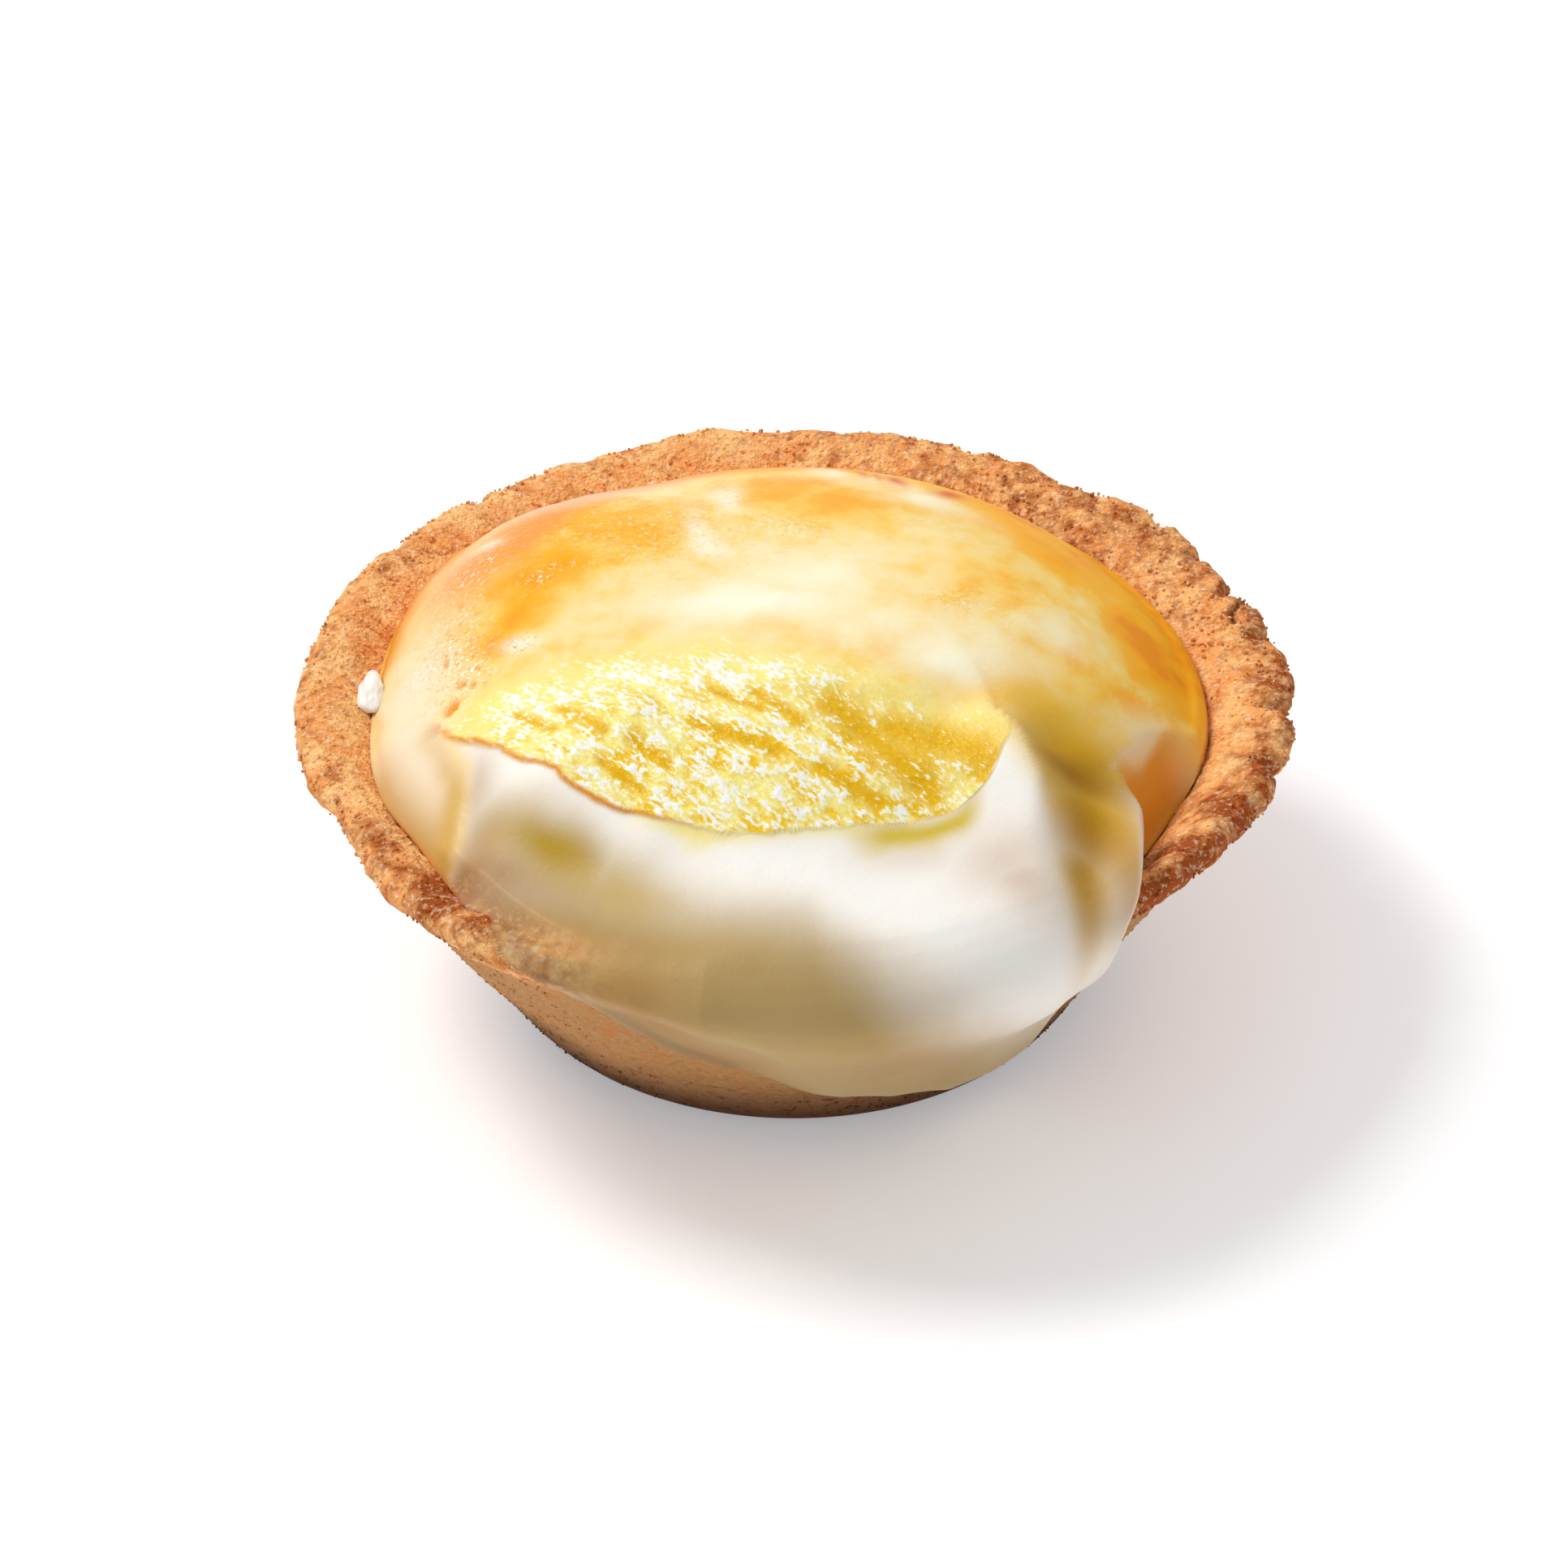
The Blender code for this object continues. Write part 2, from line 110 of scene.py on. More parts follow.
# the cheese's edge from the notch round the front to the left: angle and reach
FRONT_EDGE = ((-8, 31.4), (-11, 31.2), (-14, 30.8), (-17.5, 30.3), (-22, 29.9), (-27, 29.7), (-31, 30.3),
    (-36.5, 32), (-42, 34.6), (-46.3, 36.7), (-49.8, 38.5), (-50.3, 40.5), (-47.9, 43.2), (-44.5, 46),
    (-45, 47.8), (-52, 48.6), (-62, 48.2), (-74, 47.2), (-87, 46.6), (-100, 46), (-108, 45.2), (-115, 43.6),
    (-120, 41), (-125, 38.2), (-130, 35.8), (-136, 34.2), (-143, 33.4), (-150, 33))
# how thick the cheese lies on the rim: angle and thickness
RIM_COVER = ((-150, 0.6), (-138, 0.3), (-128, 0.15), (-116, 0.35), (-106, 1.1), (-96, 2.1), (-85, 2.8),
    (-70, 2.9), (-58, 3), (-48, 2.4))
WALL_COVER_SHARE = 0.4
LEAST_COVER = 0.5
DRAPE_ROUNDING = 4
LIP_FILL = 0.7
LIP_FILL_REACH = 41
SLUMP = 2.3
EDGE_ROUNDING = 1.3
NOTCH_FILLET = 3.2
CRISP_ROUNDING = 0.6
EDGE_SMOOTHING = 1.2
FEATHER_WIDTH = 7
CHEESE_GAP = 0.06
TUCK = 0.3
SKIN_THICKNESS = 0.5
# lines in the chart: the skin's torn edge, the skin left of the run, and the lobe below the tear
TEAR_LINE = ((-27.5, -7.6), (-25.8, -10.2), (-24.6, -12), (-22.5, -13.5), (-21.2, -14.5), (-19.3, -16.5),
    (-16.2, -19.3), (-12.2, -21.7), (-6.3, -23.9), (-1, -24.4), (4.2, -23.9), (8.4, -23.2), (11.9, -22.1),
    (14.5, -19.5), (15.7, -16.9), (15.8, -15))
SKIN_SIDE = ((-26, -9), (-24.9, -12.6), (-24.1, -15.2), (-24.6, -18.5), (-24.9, -21), (-26.5, -24.5),
    (-33, -31))
LOBE = ((-23, -15.6), (-20, -18.3), (-16, -20.9), (-11, -23.6))

# ---- parts of the chart for plateau: 0 outside the outer values and 1 between the inner ones
# arcs round the axis, in degrees
RUN_ARC = (-160, -142, -44, -30)
SOFT_ARC = (-152, -140, -30, -16)
TORN_ARC = (-162, -154, -52, -44)
SHELF_ARC = (-158, -132, -44, -16)
THIN_ARC = (-148, -138, -98, -82)
NOTCH_ARC = (-33, -27, -17, -7)
BARE_WALL_ARC = (-70, -60, -15, -4)
CRISP_ARC = (-54, -46, -33, -27)
# where a painted highlight runs along the run's right edge
EDGE_HIGHLIGHT_ARC = (-68, -60, -27, -22)
UNBORDERED_ARC = (-140, -132, -50, -46)
SIDE_ARC = (-172, -160, -128, -118)
# where a painted shadow line runs under the rim's lip
LIP_SHADOW_ARC = (-152, -140, -120, -100)
PEACH_ARC = (56, 96, 156, 178)
BACK_ARC = (0, 20, 100, 125)
# bands of reach, in millimetres
RIM_BAND = (32, 36, 40, 45)
WALL_BAND = (31, 38, 44, 50)
NICK_BAND = (33.5, 37, 39, 42)
LUMPY_BAND = (31, 34, 46, 49)
CRUMBLY_BAND = (24, 27, 48.6, 49.6)
BARE_WALL_BAND = (20, 24, 34, 35.6)
BROWNED_BAND = (34.6, 37.2, 39, 40.5)
# where a painted shadow line runs under the rim's lip
LIP_SHADOW_BAND = (37.6, 38.2, 38.9, 40.4)
CRACK_BAND = (33, 34.5, 38.5, 40)
DIVIDING_BAND = (27, 29.5, 33, 35)

# ---- fineness
SHELL_SIDES = 720
PATCH_SIDES = 540
FINE_EDGE_SIDES = 1200
# rings of the cheese's top: from and to which share of the way to its edge, and how many
TOP_RINGS = ((0, 0.1, 16), (0.1, 0.44, 90), (0.44, 0.96, 42), (0.96, 0.985, 4), (0.985, 1, 8))
UNDER_RINGS = 17
PATCH_CENTRE = (-4, -33.5)
FRONT_CROWDING = 0.9


# ---- helpers for shapes

def rise(value, low, high):
    """0 below low, 1 above high, and a cubic between them."""
    share = np.clip((value - low) / (high - low), 0, 1)
    return share * share * (3 - 2 * share)


def plateau(value, low, low_end, high_start, high):
    """0 outside low and high, 1 from low_end to high_start, and smooth between."""
    return rise(value, low, low_end) * (1 - rise(value, high_start, high))


def smooth_max(first, second, blend):
    """The larger of two heights, with a fillet of about blend where they cross."""
    return 0.5 * (first + second + np.hypot(first - second, blend))


def turn_between(angle, centre):
    """The angle in degrees from centre to angle, from -180 to 180."""
    return (angle - centre + 180) % 360 - 180


def hump(angle, centre, half_width):
    """A bell round the axis: 1 at centre, 0 past half_width degrees to either side."""
    share = np.minimum(np.abs(turn_between(angle, centre)) / half_width, 1)
    return 0.5 + 0.5 * np.cos(np.pi * share)


def at_angle(angle, table):
    """The value at angle from a table round the front, joined by straight lines."""
    spots, values = np.array(table).T
    return np.interp(turn_between(angle, -90), spots + 90, values)


def line_distance(x, y, points):
    """Distance to the line through points, and the side: positive to the right of its run."""
    nearest = np.full(np.shape(x), np.inf)
    side = np.ones(np.shape(x))
    for (x0, y0), (x1, y1) in zip(points[:-1], points[1:]):
        run_x, run_y = x1 - x0, y1 - y0
        share = np.clip(((x - x0) * run_x + (y - y0) * run_y) / (run_x ** 2 + run_y ** 2), 0, 1)
        off_x, off_y = x - x0 - share * run_x, y - y0 - share * run_y
        distance = np.hypot(off_x, off_y)
        closer = distance < nearest
        nearest = np.where(closer, distance, nearest)
        side = np.where(closer, np.sign(run_y * off_x - run_x * off_y), side)
    return nearest, side


def near_line(x, y, points, width):
    """1 on the line through points, falling off over width to either side."""
    return np.exp(-((line_distance(x, y, points)[0] / width) ** 2))


def blob(x, y, centre, radii, turn=0):
    """A soft elliptical spot: 1 at centre, falling off over radii, turned by turn degrees."""
    along = math.radians(turn)
    off_x, off_y = x - centre[0], y - centre[1]
    first = (off_x * math.cos(along) + off_y * math.sin(along)) / radii[0]
    second = (off_y * math.cos(along) - off_x * math.sin(along)) / radii[1]
    return np.exp(-(first ** 2 + second ** 2))


def lattice_value(column, row, layer):
    """A fixed value from 0 to 1 for each corner of a unit lattice."""
    mixed = np.sin(column * 127.1 + row * 311.7 + layer * 74.7) * 43758.5453
    return mixed - np.floor(mixed)


def crumble(x, y, z, size):
    """Smooth noise from -1 to 1 whose lumps are about size across."""
    x, y, z = x / size, y / size, z / size
    column, row, layer = np.floor(x), np.floor(y), np.floor(z)
    along, across, up = (rise(part, 0, 1) for part in (x - column, y - row, z - layer))
    total = np.zeros(np.shape(x))
    for i, j, k in np.ndindex(2, 2, 2):
        weight = (along if i else 1 - along) * (across if j else 1 - across) * (up if k else 1 - up)
        total = total + weight * lattice_value(column + i, row + j, layer + k)
    return 2 * total - 1


def polar(radius, angle, height):
    """Points from radius, angle in degrees and height."""
    turn = np.radians(angle)
    return np.stack([radius * np.cos(turn), radius * np.sin(turn), height], axis=-1)


def ring_normals(points):
    """Unit normals of rings of points: the cross product of the steps across and along the rings."""
    across = np.gradient(points, axis=0)
    along = np.roll(points, -1, axis=1) - np.roll(points, 1, axis=1)
    normal = np.cross(across, along)
    normal = normal / np.maximum(np.linalg.norm(normal, axis=-1, keepdims=True), 1e-9)
    normal[0] = normal[1].mean(0)
    return normal


# ---- shell

# reach, radius and height down the shell's upper surface, before its corners are rounded
SHELL_LINE = np.array([
    (0, 0, FLOOR_THICKNESS),
    (FLOOR_EDGE_REACH, FLOOR_EDGE_REACH, FLOOR_THICKNESS),
    (19.6, 19.4, FLOOR_THICKNESS + 2),
    (CONTACT_REACH, 31.2, CONTACT_HEIGHT),
    (33.5, 33.4, RIM_HEIGHT - 0.6),
    (CREST_REACH, RIM_RADIUS - 2.1, RIM_HEIGHT),
    (36.9, RIM_RADIUS - 0.6, RIM_HEIGHT - 0.2),
    (38, RIM_RADIUS + 0.1, RIM_HEIGHT - 1.2),
    (38.8, RIM_RADIUS - 0.3, RIM_HEIGHT - 2.3),
    (39.8, RIM_RADIUS - 1.4, RIM_HEIGHT - 3.2),
    (WALL_TOP_REACH, RIM_RADIUS - 2.9, RIM_HEIGHT - 4.6),
    (WALL_FOOT_REACH, BASE_RADIUS + 1.2, 3.4),
    (49.4, BASE_RADIUS - 0.2, 1.2),
    (51, BASE_RADIUS - 2.8, 0),
    (FOOT_REACH + 1, BASE_RADIUS - 4.6, 0),
])


def shell_line(reach, rounding=CORNER_ROUNDING):
    """Radius and height at each reach: SHELL_LINE averaged over rounding to either side."""
    radius, height = 0, 0
    window = np.linspace(-rounding, rounding, 9)
    for shift in window:
        spot = reach + shift
        radius = radius + np.sign(spot) * np.interp(np.abs(spot), SHELL_LINE[:, 0], SHELL_LINE[:, 1])
        height = height + np.interp(np.abs(spot), SHELL_LINE[:, 0], SHELL_LINE[:, 2])
    return radius / len(window), height / len(window)


def shell_normal(reach, rounding=CORNER_ROUNDING):
    """The radial and upward parts of the direction out of the shell's upper surface."""
    behind, ahead = (np.array(shell_line(reach + step, rounding)) for step in (-0.4, 0.4))
    along = (ahead - behind) / np.hypot(*(ahead - behind))
    return -along[1], along[0]


def humps(angle, table):
    """The sum of the humps of a table."""
    return sum(height * hump(angle, middle, half_width) for middle, half_width, height in table)


def uneven(angle, reach):
    """How far the rim and wall stand off the turned line, outward and upward."""
    on_rim, on_wall = plateau(reach, *RIM_BAND), plateau(reach, *WALL_BAND)
    dent = hump(angle, *DENT)
    turn = np.radians(angle)
    ripple = crumble(*RIPPLES_ROUND_RIM * np.stack([np.cos(turn), np.sin(turn)]), 0.5, 1)
    nick = humps(angle, RIM_NICKS) * plateau(reach, *NICK_BAND)
    upward = on_rim * (DENT_RIM_RISE * dent + RIM_RIPPLE * ripple) - 0.5 * nick
    return on_rim * humps(angle, RIM_LOBES) - on_wall * DENT_DEPTH * dent - nick, upward


def crust_grain(points, coarse):
    """Height of the crumb: lumps of 2 mm, grains of 0.9 and 0.5 mm, and pits, scaled by coarse."""
    x, y, z = np.moveaxis(points, -1, 0)
    lumps = crumble(x + 11, y, z, 2.3)
    right = 0.5 + 0.5 * rise(x, 5, 25)
    crags = 0.22 * right * rise(np.hypot(x, y), 33, 36.5) * crumble(x, y, z + 5, 1.4)
    grains = crumble(x, y + 23, z, 0.95)
    specks = crumble(x, y, z + 31, 0.48)
    pits = rise(crumble(x + 5, y + 7, z, 0.8), 0.42, 0.85)
    return coarse * (0.15 * lumps + crags + 0.11 * grains + 0.07 * specks - 0.2 * pits)


def bare_wall(angle, reach):
    """1 on the smooth inner wall that the cheese has drawn back from, beside its notch."""
    return plateau(reach, *BARE_WALL_BAND) * plateau(angle, *BARE_WALL_ARC)


def shell_surface(angle, reach, lift=0):
    """Points of the shell's upper surface, or lift off it: the turned line, made uneven and lumpy."""
    radius, height = shell_line(reach)
    out, up = shell_normal(reach)
    outward, upward = uneven(angle, reach)
    radius, height = radius + outward, height + upward
    lumps = crumble(*np.moveaxis(polar(radius, angle, height), -1, 0), LUMP_SIZE)
    lift = lift + LUMP_DEPTH * plateau(reach, *LUMPY_BAND) * lumps
    return polar(radius + out * lift, angle, height + up * lift)


# ---- cheese

def contact_reach(angle):
    """The reach at which the dome meets the shell away from the front."""
    shoulder = SHOULDER_REACH * hump(angle, *SHOULDER)
    return CONTACT_REACH + shoulder + BULGE_REACH * hump(angle, *BULGE)


def even_points(corners, count, crowding=0):
    """count points of the closed line through corners, evenly spaced or crowded towards the front."""
    closed = np.vstack([corners, corners[:1]])
    steps = np.hypot(*np.diff(closed, axis=0).T)
    steps = steps * (1 + crowding * (1 - rise(closed[1:, 1], -24, -8)))
    length = np.concatenate([[0], np.cumsum(steps)])
    spots = np.linspace(0, length[-1], count, endpoint=False)
    return np.stack([np.interp(spots, length, closed[:, i]) for i in (0, 1)], axis=-1)


def patch_edge(count):
    """The cheese's edge: count points of the chart, counterclockwise from above, smoothed."""
    front_angle, front_reach = np.array(FRONT_EDGE).T
    back_angle = np.arange(front_angle[-1] + 360, front_angle[0], -4)[1:]
    angle = np.concatenate([front_angle, back_angle])
    reach = np.concatenate([front_reach, contact_reach(back_angle)])
    corners = polar(reach, angle, reach)[::-1, :2]
    fine = even_points(corners, FINE_EDGE_SIDES)
    steps = int(EDGE_SMOOTHING / np.hypot(*(fine[1] - fine[0])))
    shifts = range(-steps, steps + 1)
    fine = np.mean([np.roll(fine, shift, axis=0) for shift in shifts], axis=0)
    return even_points(fine, count, FRONT_CROWDING)


def rim_cover(angle):
    """How thick the cheese lies on the rim."""
    return at_angle(angle, RIM_COVER)


def dome_height(angle, reach):
    """Height of the dome: a power of the reach, so flat on top and steep at the sides."""
    edge = contact_reach(angle)
    edge_height = shell_line(edge)[1]
    power = DOME_POWER + SHOULDER_POWER * hump(angle, *SHOULDER)
    return DOME_TOP - (DOME_TOP - edge_height) * (np.minimum(reach, 40) / edge) ** power


def shelf_height(angle, reach):
    """Height of the soft cheese from the torn skin down to the rim's crest, sunk elsewhere."""
    top = SHELF_HEIGHT + SHELF_RISE_RIGHT * hump(angle, -52, 30)
    foot = RIM_HEIGHT + rim_cover(angle)
    share = np.clip((reach - TEAR_REACH) / (CREST_REACH - TEAR_REACH), -0.5, 1)
    sag = SHELF_SAG + SHELF_SAG_LEFT * hump(angle, -135, 50)
    return foot + (top - foot) * (1 - share) ** sag - SHELF_SINK * (1 - plateau(angle, *SHELF_ARC))


def ridge_and_valley(x, y):
    """The ridge that the cheese pulled up as it ran, and the valley on its right."""
    distance, side = line_distance(x, y, RIDGE)
    width = np.where(side > 0, *RIDGE_WIDTHS)
    ridge = RIDGE_RISE * np.exp((RIDGE_CREST - np.hypot(distance, RIDGE_CREST)) / width)
    return ridge - VALLEY_DEPTH * near_line(x, y, VALLEY, VALLEY_WIDTH)


def cheese_form(x, y, angle, reach):
    """Points of the cheese before it slumps: a height over the plan inside the rim, a drape outside."""
    bare_radius, bare_height = shell_line(reach)
    outward, upward = uneven(angle, reach)
    out, up = shell_normal(reach, DRAPE_ROUNDING)
    cover = rim_cover(angle)
    wave = ridge_and_valley(x, y)

    on_wall = rise(reach, CREST_REACH + 2, WALL_TOP_REACH + 4)
    fill = LIP_FILL * rise(cover, 1.1, 1.9) * np.exp(-((reach - LIP_FILL_REACH) / 2.2) ** 2)
    lift = cover * (1 - (1 - WALL_COVER_SHARE) * on_wall) + fill
    lift = lift + wave * (1 - WAVE_LOSS_ON_RIM * rise(reach, 33, 37))
    drape_radius = bare_radius + outward + out * lift
    drape_height = bare_height + upward + up * lift

    blend = BLEND_RIGHT * hump(angle, -40, 25) + BLEND_LEFT * hump(angle, -142, 24)
    blend = BLEND + blend * rise(reach, 15, 26)
    plan_height = smooth_max(dome_height(angle, reach), shelf_height(angle, reach), blend) + wave
    plan_height = plan_height - HOLLOW_DEPTH * near_line(x, y, HOLLOW, HOLLOW_WIDTH)
    least = np.clip(cover, 0.2, LEAST_COVER)
    plan_height = smooth_max(plan_height, bare_height + upward + least, 0.45 + 1.4 * hump(angle, -130, 34))

    share = rise(reach, CREST_REACH - 1.2, CREST_REACH + 2.2)
    radius = reach + (drape_radius - reach) * share
    height = plan_height + (drape_height - plan_height) * share
    return polar(radius, angle, height)


def cheese_top(x, y, angle, reach):
    """Points of the cheese's free top: its form averaged over a window of reach."""
    window = SLUMP * rise(reach, TEAR_REACH + 1.5, CONTACT_REACH)
    window = window * np.maximum(rise(rim_cover(angle), 0.9, 2.3), 0.6 * feathered(angle))
    total = 0
    shares = np.linspace(-1, 1, 7)
    for share in shares:
        scale = 1 + share * window / np.maximum(reach, 1)
        total = total + cheese_form(x * scale, y * scale, angle, reach * scale)
    return total / len(shares)


# ---- marks on the cheese, each from 0 to 1

# Each place is the x and y of its middle in the chart, two half sizes, a turn in degrees, and how much.
# where the skin is browned
BROWNED = ((-18.6, 3.6, 4.8, 2.8, 25, 0.66), (-20.4, 0.6, 2.8, 3, 0, 0.62),
    (-22.4, -2.1, 2.4, 2.8, 0, 0.72), (-13, 9, 9, 4.5, 15, 0.42), (-18.6, 12.8, 8, 5, 35, 0.6),
    (-1.4, 15.5, 5, 5, 0, 0.55), (3.5, 12.6, 5.5, 4, 0, 0.5), (21.8, 12.2, 7, 3.2, -42, 0.78),
    (17.4, 10, 2.4, 1.2, 20, 0.66), (22.8, 7.2, 2.2, 2, 0, 0.6), (27.2, 2.4, 5.4, 3.4, -72, 1),
    (21.6, -5, 4.5, 3.4, 0, 0.36), (25.2, -5.2, 2.6, 1.5, 0, 0.66), (16.8, 17.2, 7, 4.5, -40, 0.8),
    (16.5, 2.5, 5, 4, 0, 0.3), (18.6, 11, 7.5, 3.4, -40, 0.75), (9, -8.6, 8, 2.2, -8, 0.26),
    (-11, -4, 8, 2, 0, 0.22))
# how far the skin is browned where it meets the crust, at some angles
TOASTED_EDGE = ((-180, 0.12), (-165, 0.04), (-150, 0), (-30, 0), (-14, 0.05), (-5, 0.36), (6, 0.76),
    (24, 0.8), (44, 0.74), (56, 0.66), (66, 0.66), (78, 0.72), (96, 0.74), (110, 0.6), (122, 0.66),
    (150, 0.5), (166, 0.25), (180, 0.12))
# where the skin stays pale, with a painted highlight of glare on the dome's top and painted glint streaks
PALE_AND_GLARE = ((-4, -2.6, 9.5, 3.4, 0, 0.95), (11.6, -7.4, 5.4, 3, 0, 0.9), (1, 1.5, 6, 4.4, 0, 0.7),
    (-6.1, 6.4, 0.9, 4.6, 12, 0.7), (-5.1, 13.2, 1, 2.6, 8, 0.8), (9.6, 14, 3.2, 1.8, -25, 0.7),
    (-20.6, -3.4, 1.5, 1.2, 0, 0.9), (19.5, -2.5, 2.6, 2, 0, 0.5), (27.8, -8.8, 2.6, 3, 0, 0.7),
    (-14, -4, 7, 2.2, -5, 0.3), (5, -5, 8, 2.6, 0, 0.5), (-8.6, -4.6, 3, 1, 0, 0.6),
    (2.5, 19.4, 1, 2.2, 20, 0.6), (-24, 10.8, 1.6, 0.7, -30, 0.6))
# where the skin is browned in small, sharp specks
SPECKS = ((-25.2, -7.8, 0.62, 0.85, -20, 1), (-26.6, -9, 0.5, 0.6, 0, 1), (-26, -1.6, 0.3, 0.45, 0, 0.7),
    (-24.6, -5.6, 0.42, 0.5, 0, 0.8), (-23.8, -6.3, 0.3, 0.36, 0, 0.7), (-24.9, 4, 0.3, 0.4, 0, 0.6))
# grooves where the froth is torn down to yellow cheese: two ends in plan, half width and depth
GROOVES = (((-7, -15.5), (-1.3, -18.3), 0.7, 0.3), ((-11.8, -16.5), (-9.2, -18.7), 0.6, 0.25),
    ((3, -13.6), (9.4, -20), 1.9, 0.55), ((10.4, -15.4), (14.2, -18.6), 1.6, 0.45),
    ((-17, -12.5), (-13.8, -15.6), 0.5, 0.2), ((-3, -12.6), (0.5, -15.4), 0.6, 0.25),
    ((2, -19.5), (6, -21.8), 0.8, 0.25), ((-6, -12.4), (-2.5, -14.4), 0.5, 0.15),
    ((-20.5, -11.6), (-17.5, -14.4), 0.4, 0.15), ((-14, -18), (-11, -20.4), 0.4, 0.15),
    ((7.4, -15.4), (13.4, -17.2), 2, 0.3))
# the back edge of the frothy band: y at some x
BAND_BACK = ((-27, -7), (-20, -6.5), (-14, -6), (-5, -5.6), (1, -7), (6, -9.5), (13, -11.6), (16, -14))
# reach at which the run turns from its lit top to its shaded front, at some angles
TURNING = ((-152, 31), (-146, 30), (-140, 29), (-136, 28), (-128, 26.9), (-116, 26.2), (-106, 26.8),
    (-97, 27.6), (-88, 29), (-79, 33.4), (-70, 37), (-58, 39.6), (-44, 41))
# the valley and the slope right of the ridge: the cheese's yellow, darkened with painted shade
SHADED_GOLD = ((20.6, -13.8, 5.6, 4.4, 0, 1), (21.9, -19.5, 3.8, 6, 0, 1), (21, -26.5, 2.2, 4.8, 0, 0.85),
    (18.4, -11, 5, 3.4, -10, 0.8), (23.6, -9.6, 3.8, 3, 0, 0.4))
# painted shade at its darkest, in the valley's core
DEEP_SHADED_GOLD = ((20.6, -16.2, 4.2, 3.6, 20, 1), (21.3, -21.4, 2.6, 4.8, 0, 0.85),
    (20.9, -26, 1.8, 4.4, 0, 0.75))
# where the cheese is matt, peach and cream
MATT = (*DEEP_SHADED_GOLD, (28, 1, 4, 9, 0, 1))
PEACHY = ((-24.4, 9, 4.5, 6, 0, 1),)
CREAMY = ((-28.5, -2.5, 3.4, 7, 0, 0.85), (-28.8, -9, 3, 6, 0, 0.85))
# painted shade on the run: greenish-yellow places, tinted by the cheese's yellow inside, and dark places low
# on its front and left
SHADED_OLIVE = ((-17.4, -23, 5.6, 2.1, -41, 1), (-12.4, -27, 4.8, 2.1, -38, 0.65))
LOW_SHADE = ((-17, -32.6, 4.6, 2.8, -28, 0.7), (-14, -39, 6, 6, 0, 0.85), (-10, -44, 7, 3.2, -6, 1),
    (-23.4, -24, 2.6, 2, -40, 0.8), (10, -41, 9, 3, 5, 0.5), (-25, -21, 1.2, 1.6, 0, 0.8))
# painted shade: beige-brown places on the run
BEIGE_SHADE = ((-23.2, -16.4, 1.8, 3, 0, 0.65), (-22.6, -21.4, 2.6, 2.8, 0, 0.9), (-19, -25.4, 4, 2.2, -30, 0.7),
    (16.6, -28.6, 3, 2.4, 0, 0.6), (15.4, -26.8, 4, 3.6, 0, 0.5), (24.2, -23, 2.2, 7, 8, 1),
    (24.4, -13.4, 2.6, 2.6, 0, 0.5), (8.6, -26.2, 5, 1.8, 0, 0.28), (20.9, -30, 2, 2.6, 0, 0.3))
# where the skin rose in tiny bubbles, with orange dots and white glints painted on them as highlights
BLISTERS_AND_GLINTS = ((-25.6, -2, 2.4, 6, 0, 1), (-24, 7.5, 2.6, 2.6, 0, 0.8), (-20.6, -3.6, 1.4, 1.4, 0, 1),
    (-18.6, 3.4, 1.6, 1, 0, 0.7), (-10, 8, 10, 6, 0, 0.3), (-24.6, -6, 1.8, 1.8, 0, 0.9),
    (-5.2, 13.6, 1, 2.8, 12, 0.4), (-6.4, 7.6, 1, 3.4, 8, 0.35), (-0.3, 9, 3, 1.6, 0, 0.4),
    (12.8, -0.3, 2.2, 1.4, 20, 0.35))
# a bead of glaze along the foot of the dome, and dark flecks on its back edge
BEAD = ((-30.7, 4), (-29.8, 7.4), (-28.7, 10.4), (-27.4, 13.2), (-25.6, 16))
FLECKS = ((5, 19.8, 0.5, 1.6, 0, 0.8), (6.4, 19.6, 0.4, 1.8, 0, 0.9), (8, 19.4, 0.8, 1.9, -10, 1),
    (11.6, 17.6, 1.1, 2, -20, 1))
# where the crust is browned
CRUST_BROWNED = ((20.3, 28.6, 4, 2, -35, 0.5), (26.3, 24.8, 3.5, 2, -45, 0.7), (31, 19, 3, 2, -60, 0.7),
    (35.6, 8.5, 3, 1.6, -80, 0.6), (36.3, 2.5, 2.6, 1.8, 80, 0.9), (35, -5.5, 2, 2.6, 0, 0.6),
    (-30.6, -17.6, 4, 2, -55, 0.7), (-25.4, -23.6, 4.4, 2.8, -45, 1.2), (-35, -9, 1.6, 2.4, 0, 0.35),
    (27.8, -19, 3.4, 2.6, -40, 1.2), (32, -13.6, 3.2, 2.6, -40, 1.1), (34.4, -9.6, 2, 3.4, 20, 1.1),
    (-22, -28.2, 4.2, 2.2, -40, 1), (-35.8, 4, 1.6, 3, 0, 0.3),
    (-31, 18, 2.4, 1.4, 60, 0.5), (-15, 34, 4, 1.6, 20, 0.3), (2, 37, 5, 1.4, 0, 0.4),
    (31.4, -12.2, 2.4, 1.5, -40, 0.95), (-20, -31, 4, 1.5, -35, 0.5))
CRACK = ((34.2, 13.6), (33.3, 12.2), (33.5, 10.9))
DARK_FOOT_HEIGHT = 11
CRACK_WIDTH = 0.28
CRACK_DEPTH = 0.6
CRUMBS = 6500
CRUMB_SIZES = (0.09, 0.2)
CURD_PLACE = (-31.8, 2, 23.2)
CURD_SIZE = (1.05, 2.3, 1.1)


def soft_spots(x, y, places, sharp=False):
    """The strongest of several soft elliptical spots, or of spots with fairly sharp outlines."""
    total = 0
    for middle_x, middle_y, half_x, half_y, turn, amount in places:
        near = blob(x, y, (middle_x, middle_y), (half_x, half_y), turn)
        total = np.maximum(total, amount * (rise(near, 0.2, 0.7) if sharp else near))
    return total


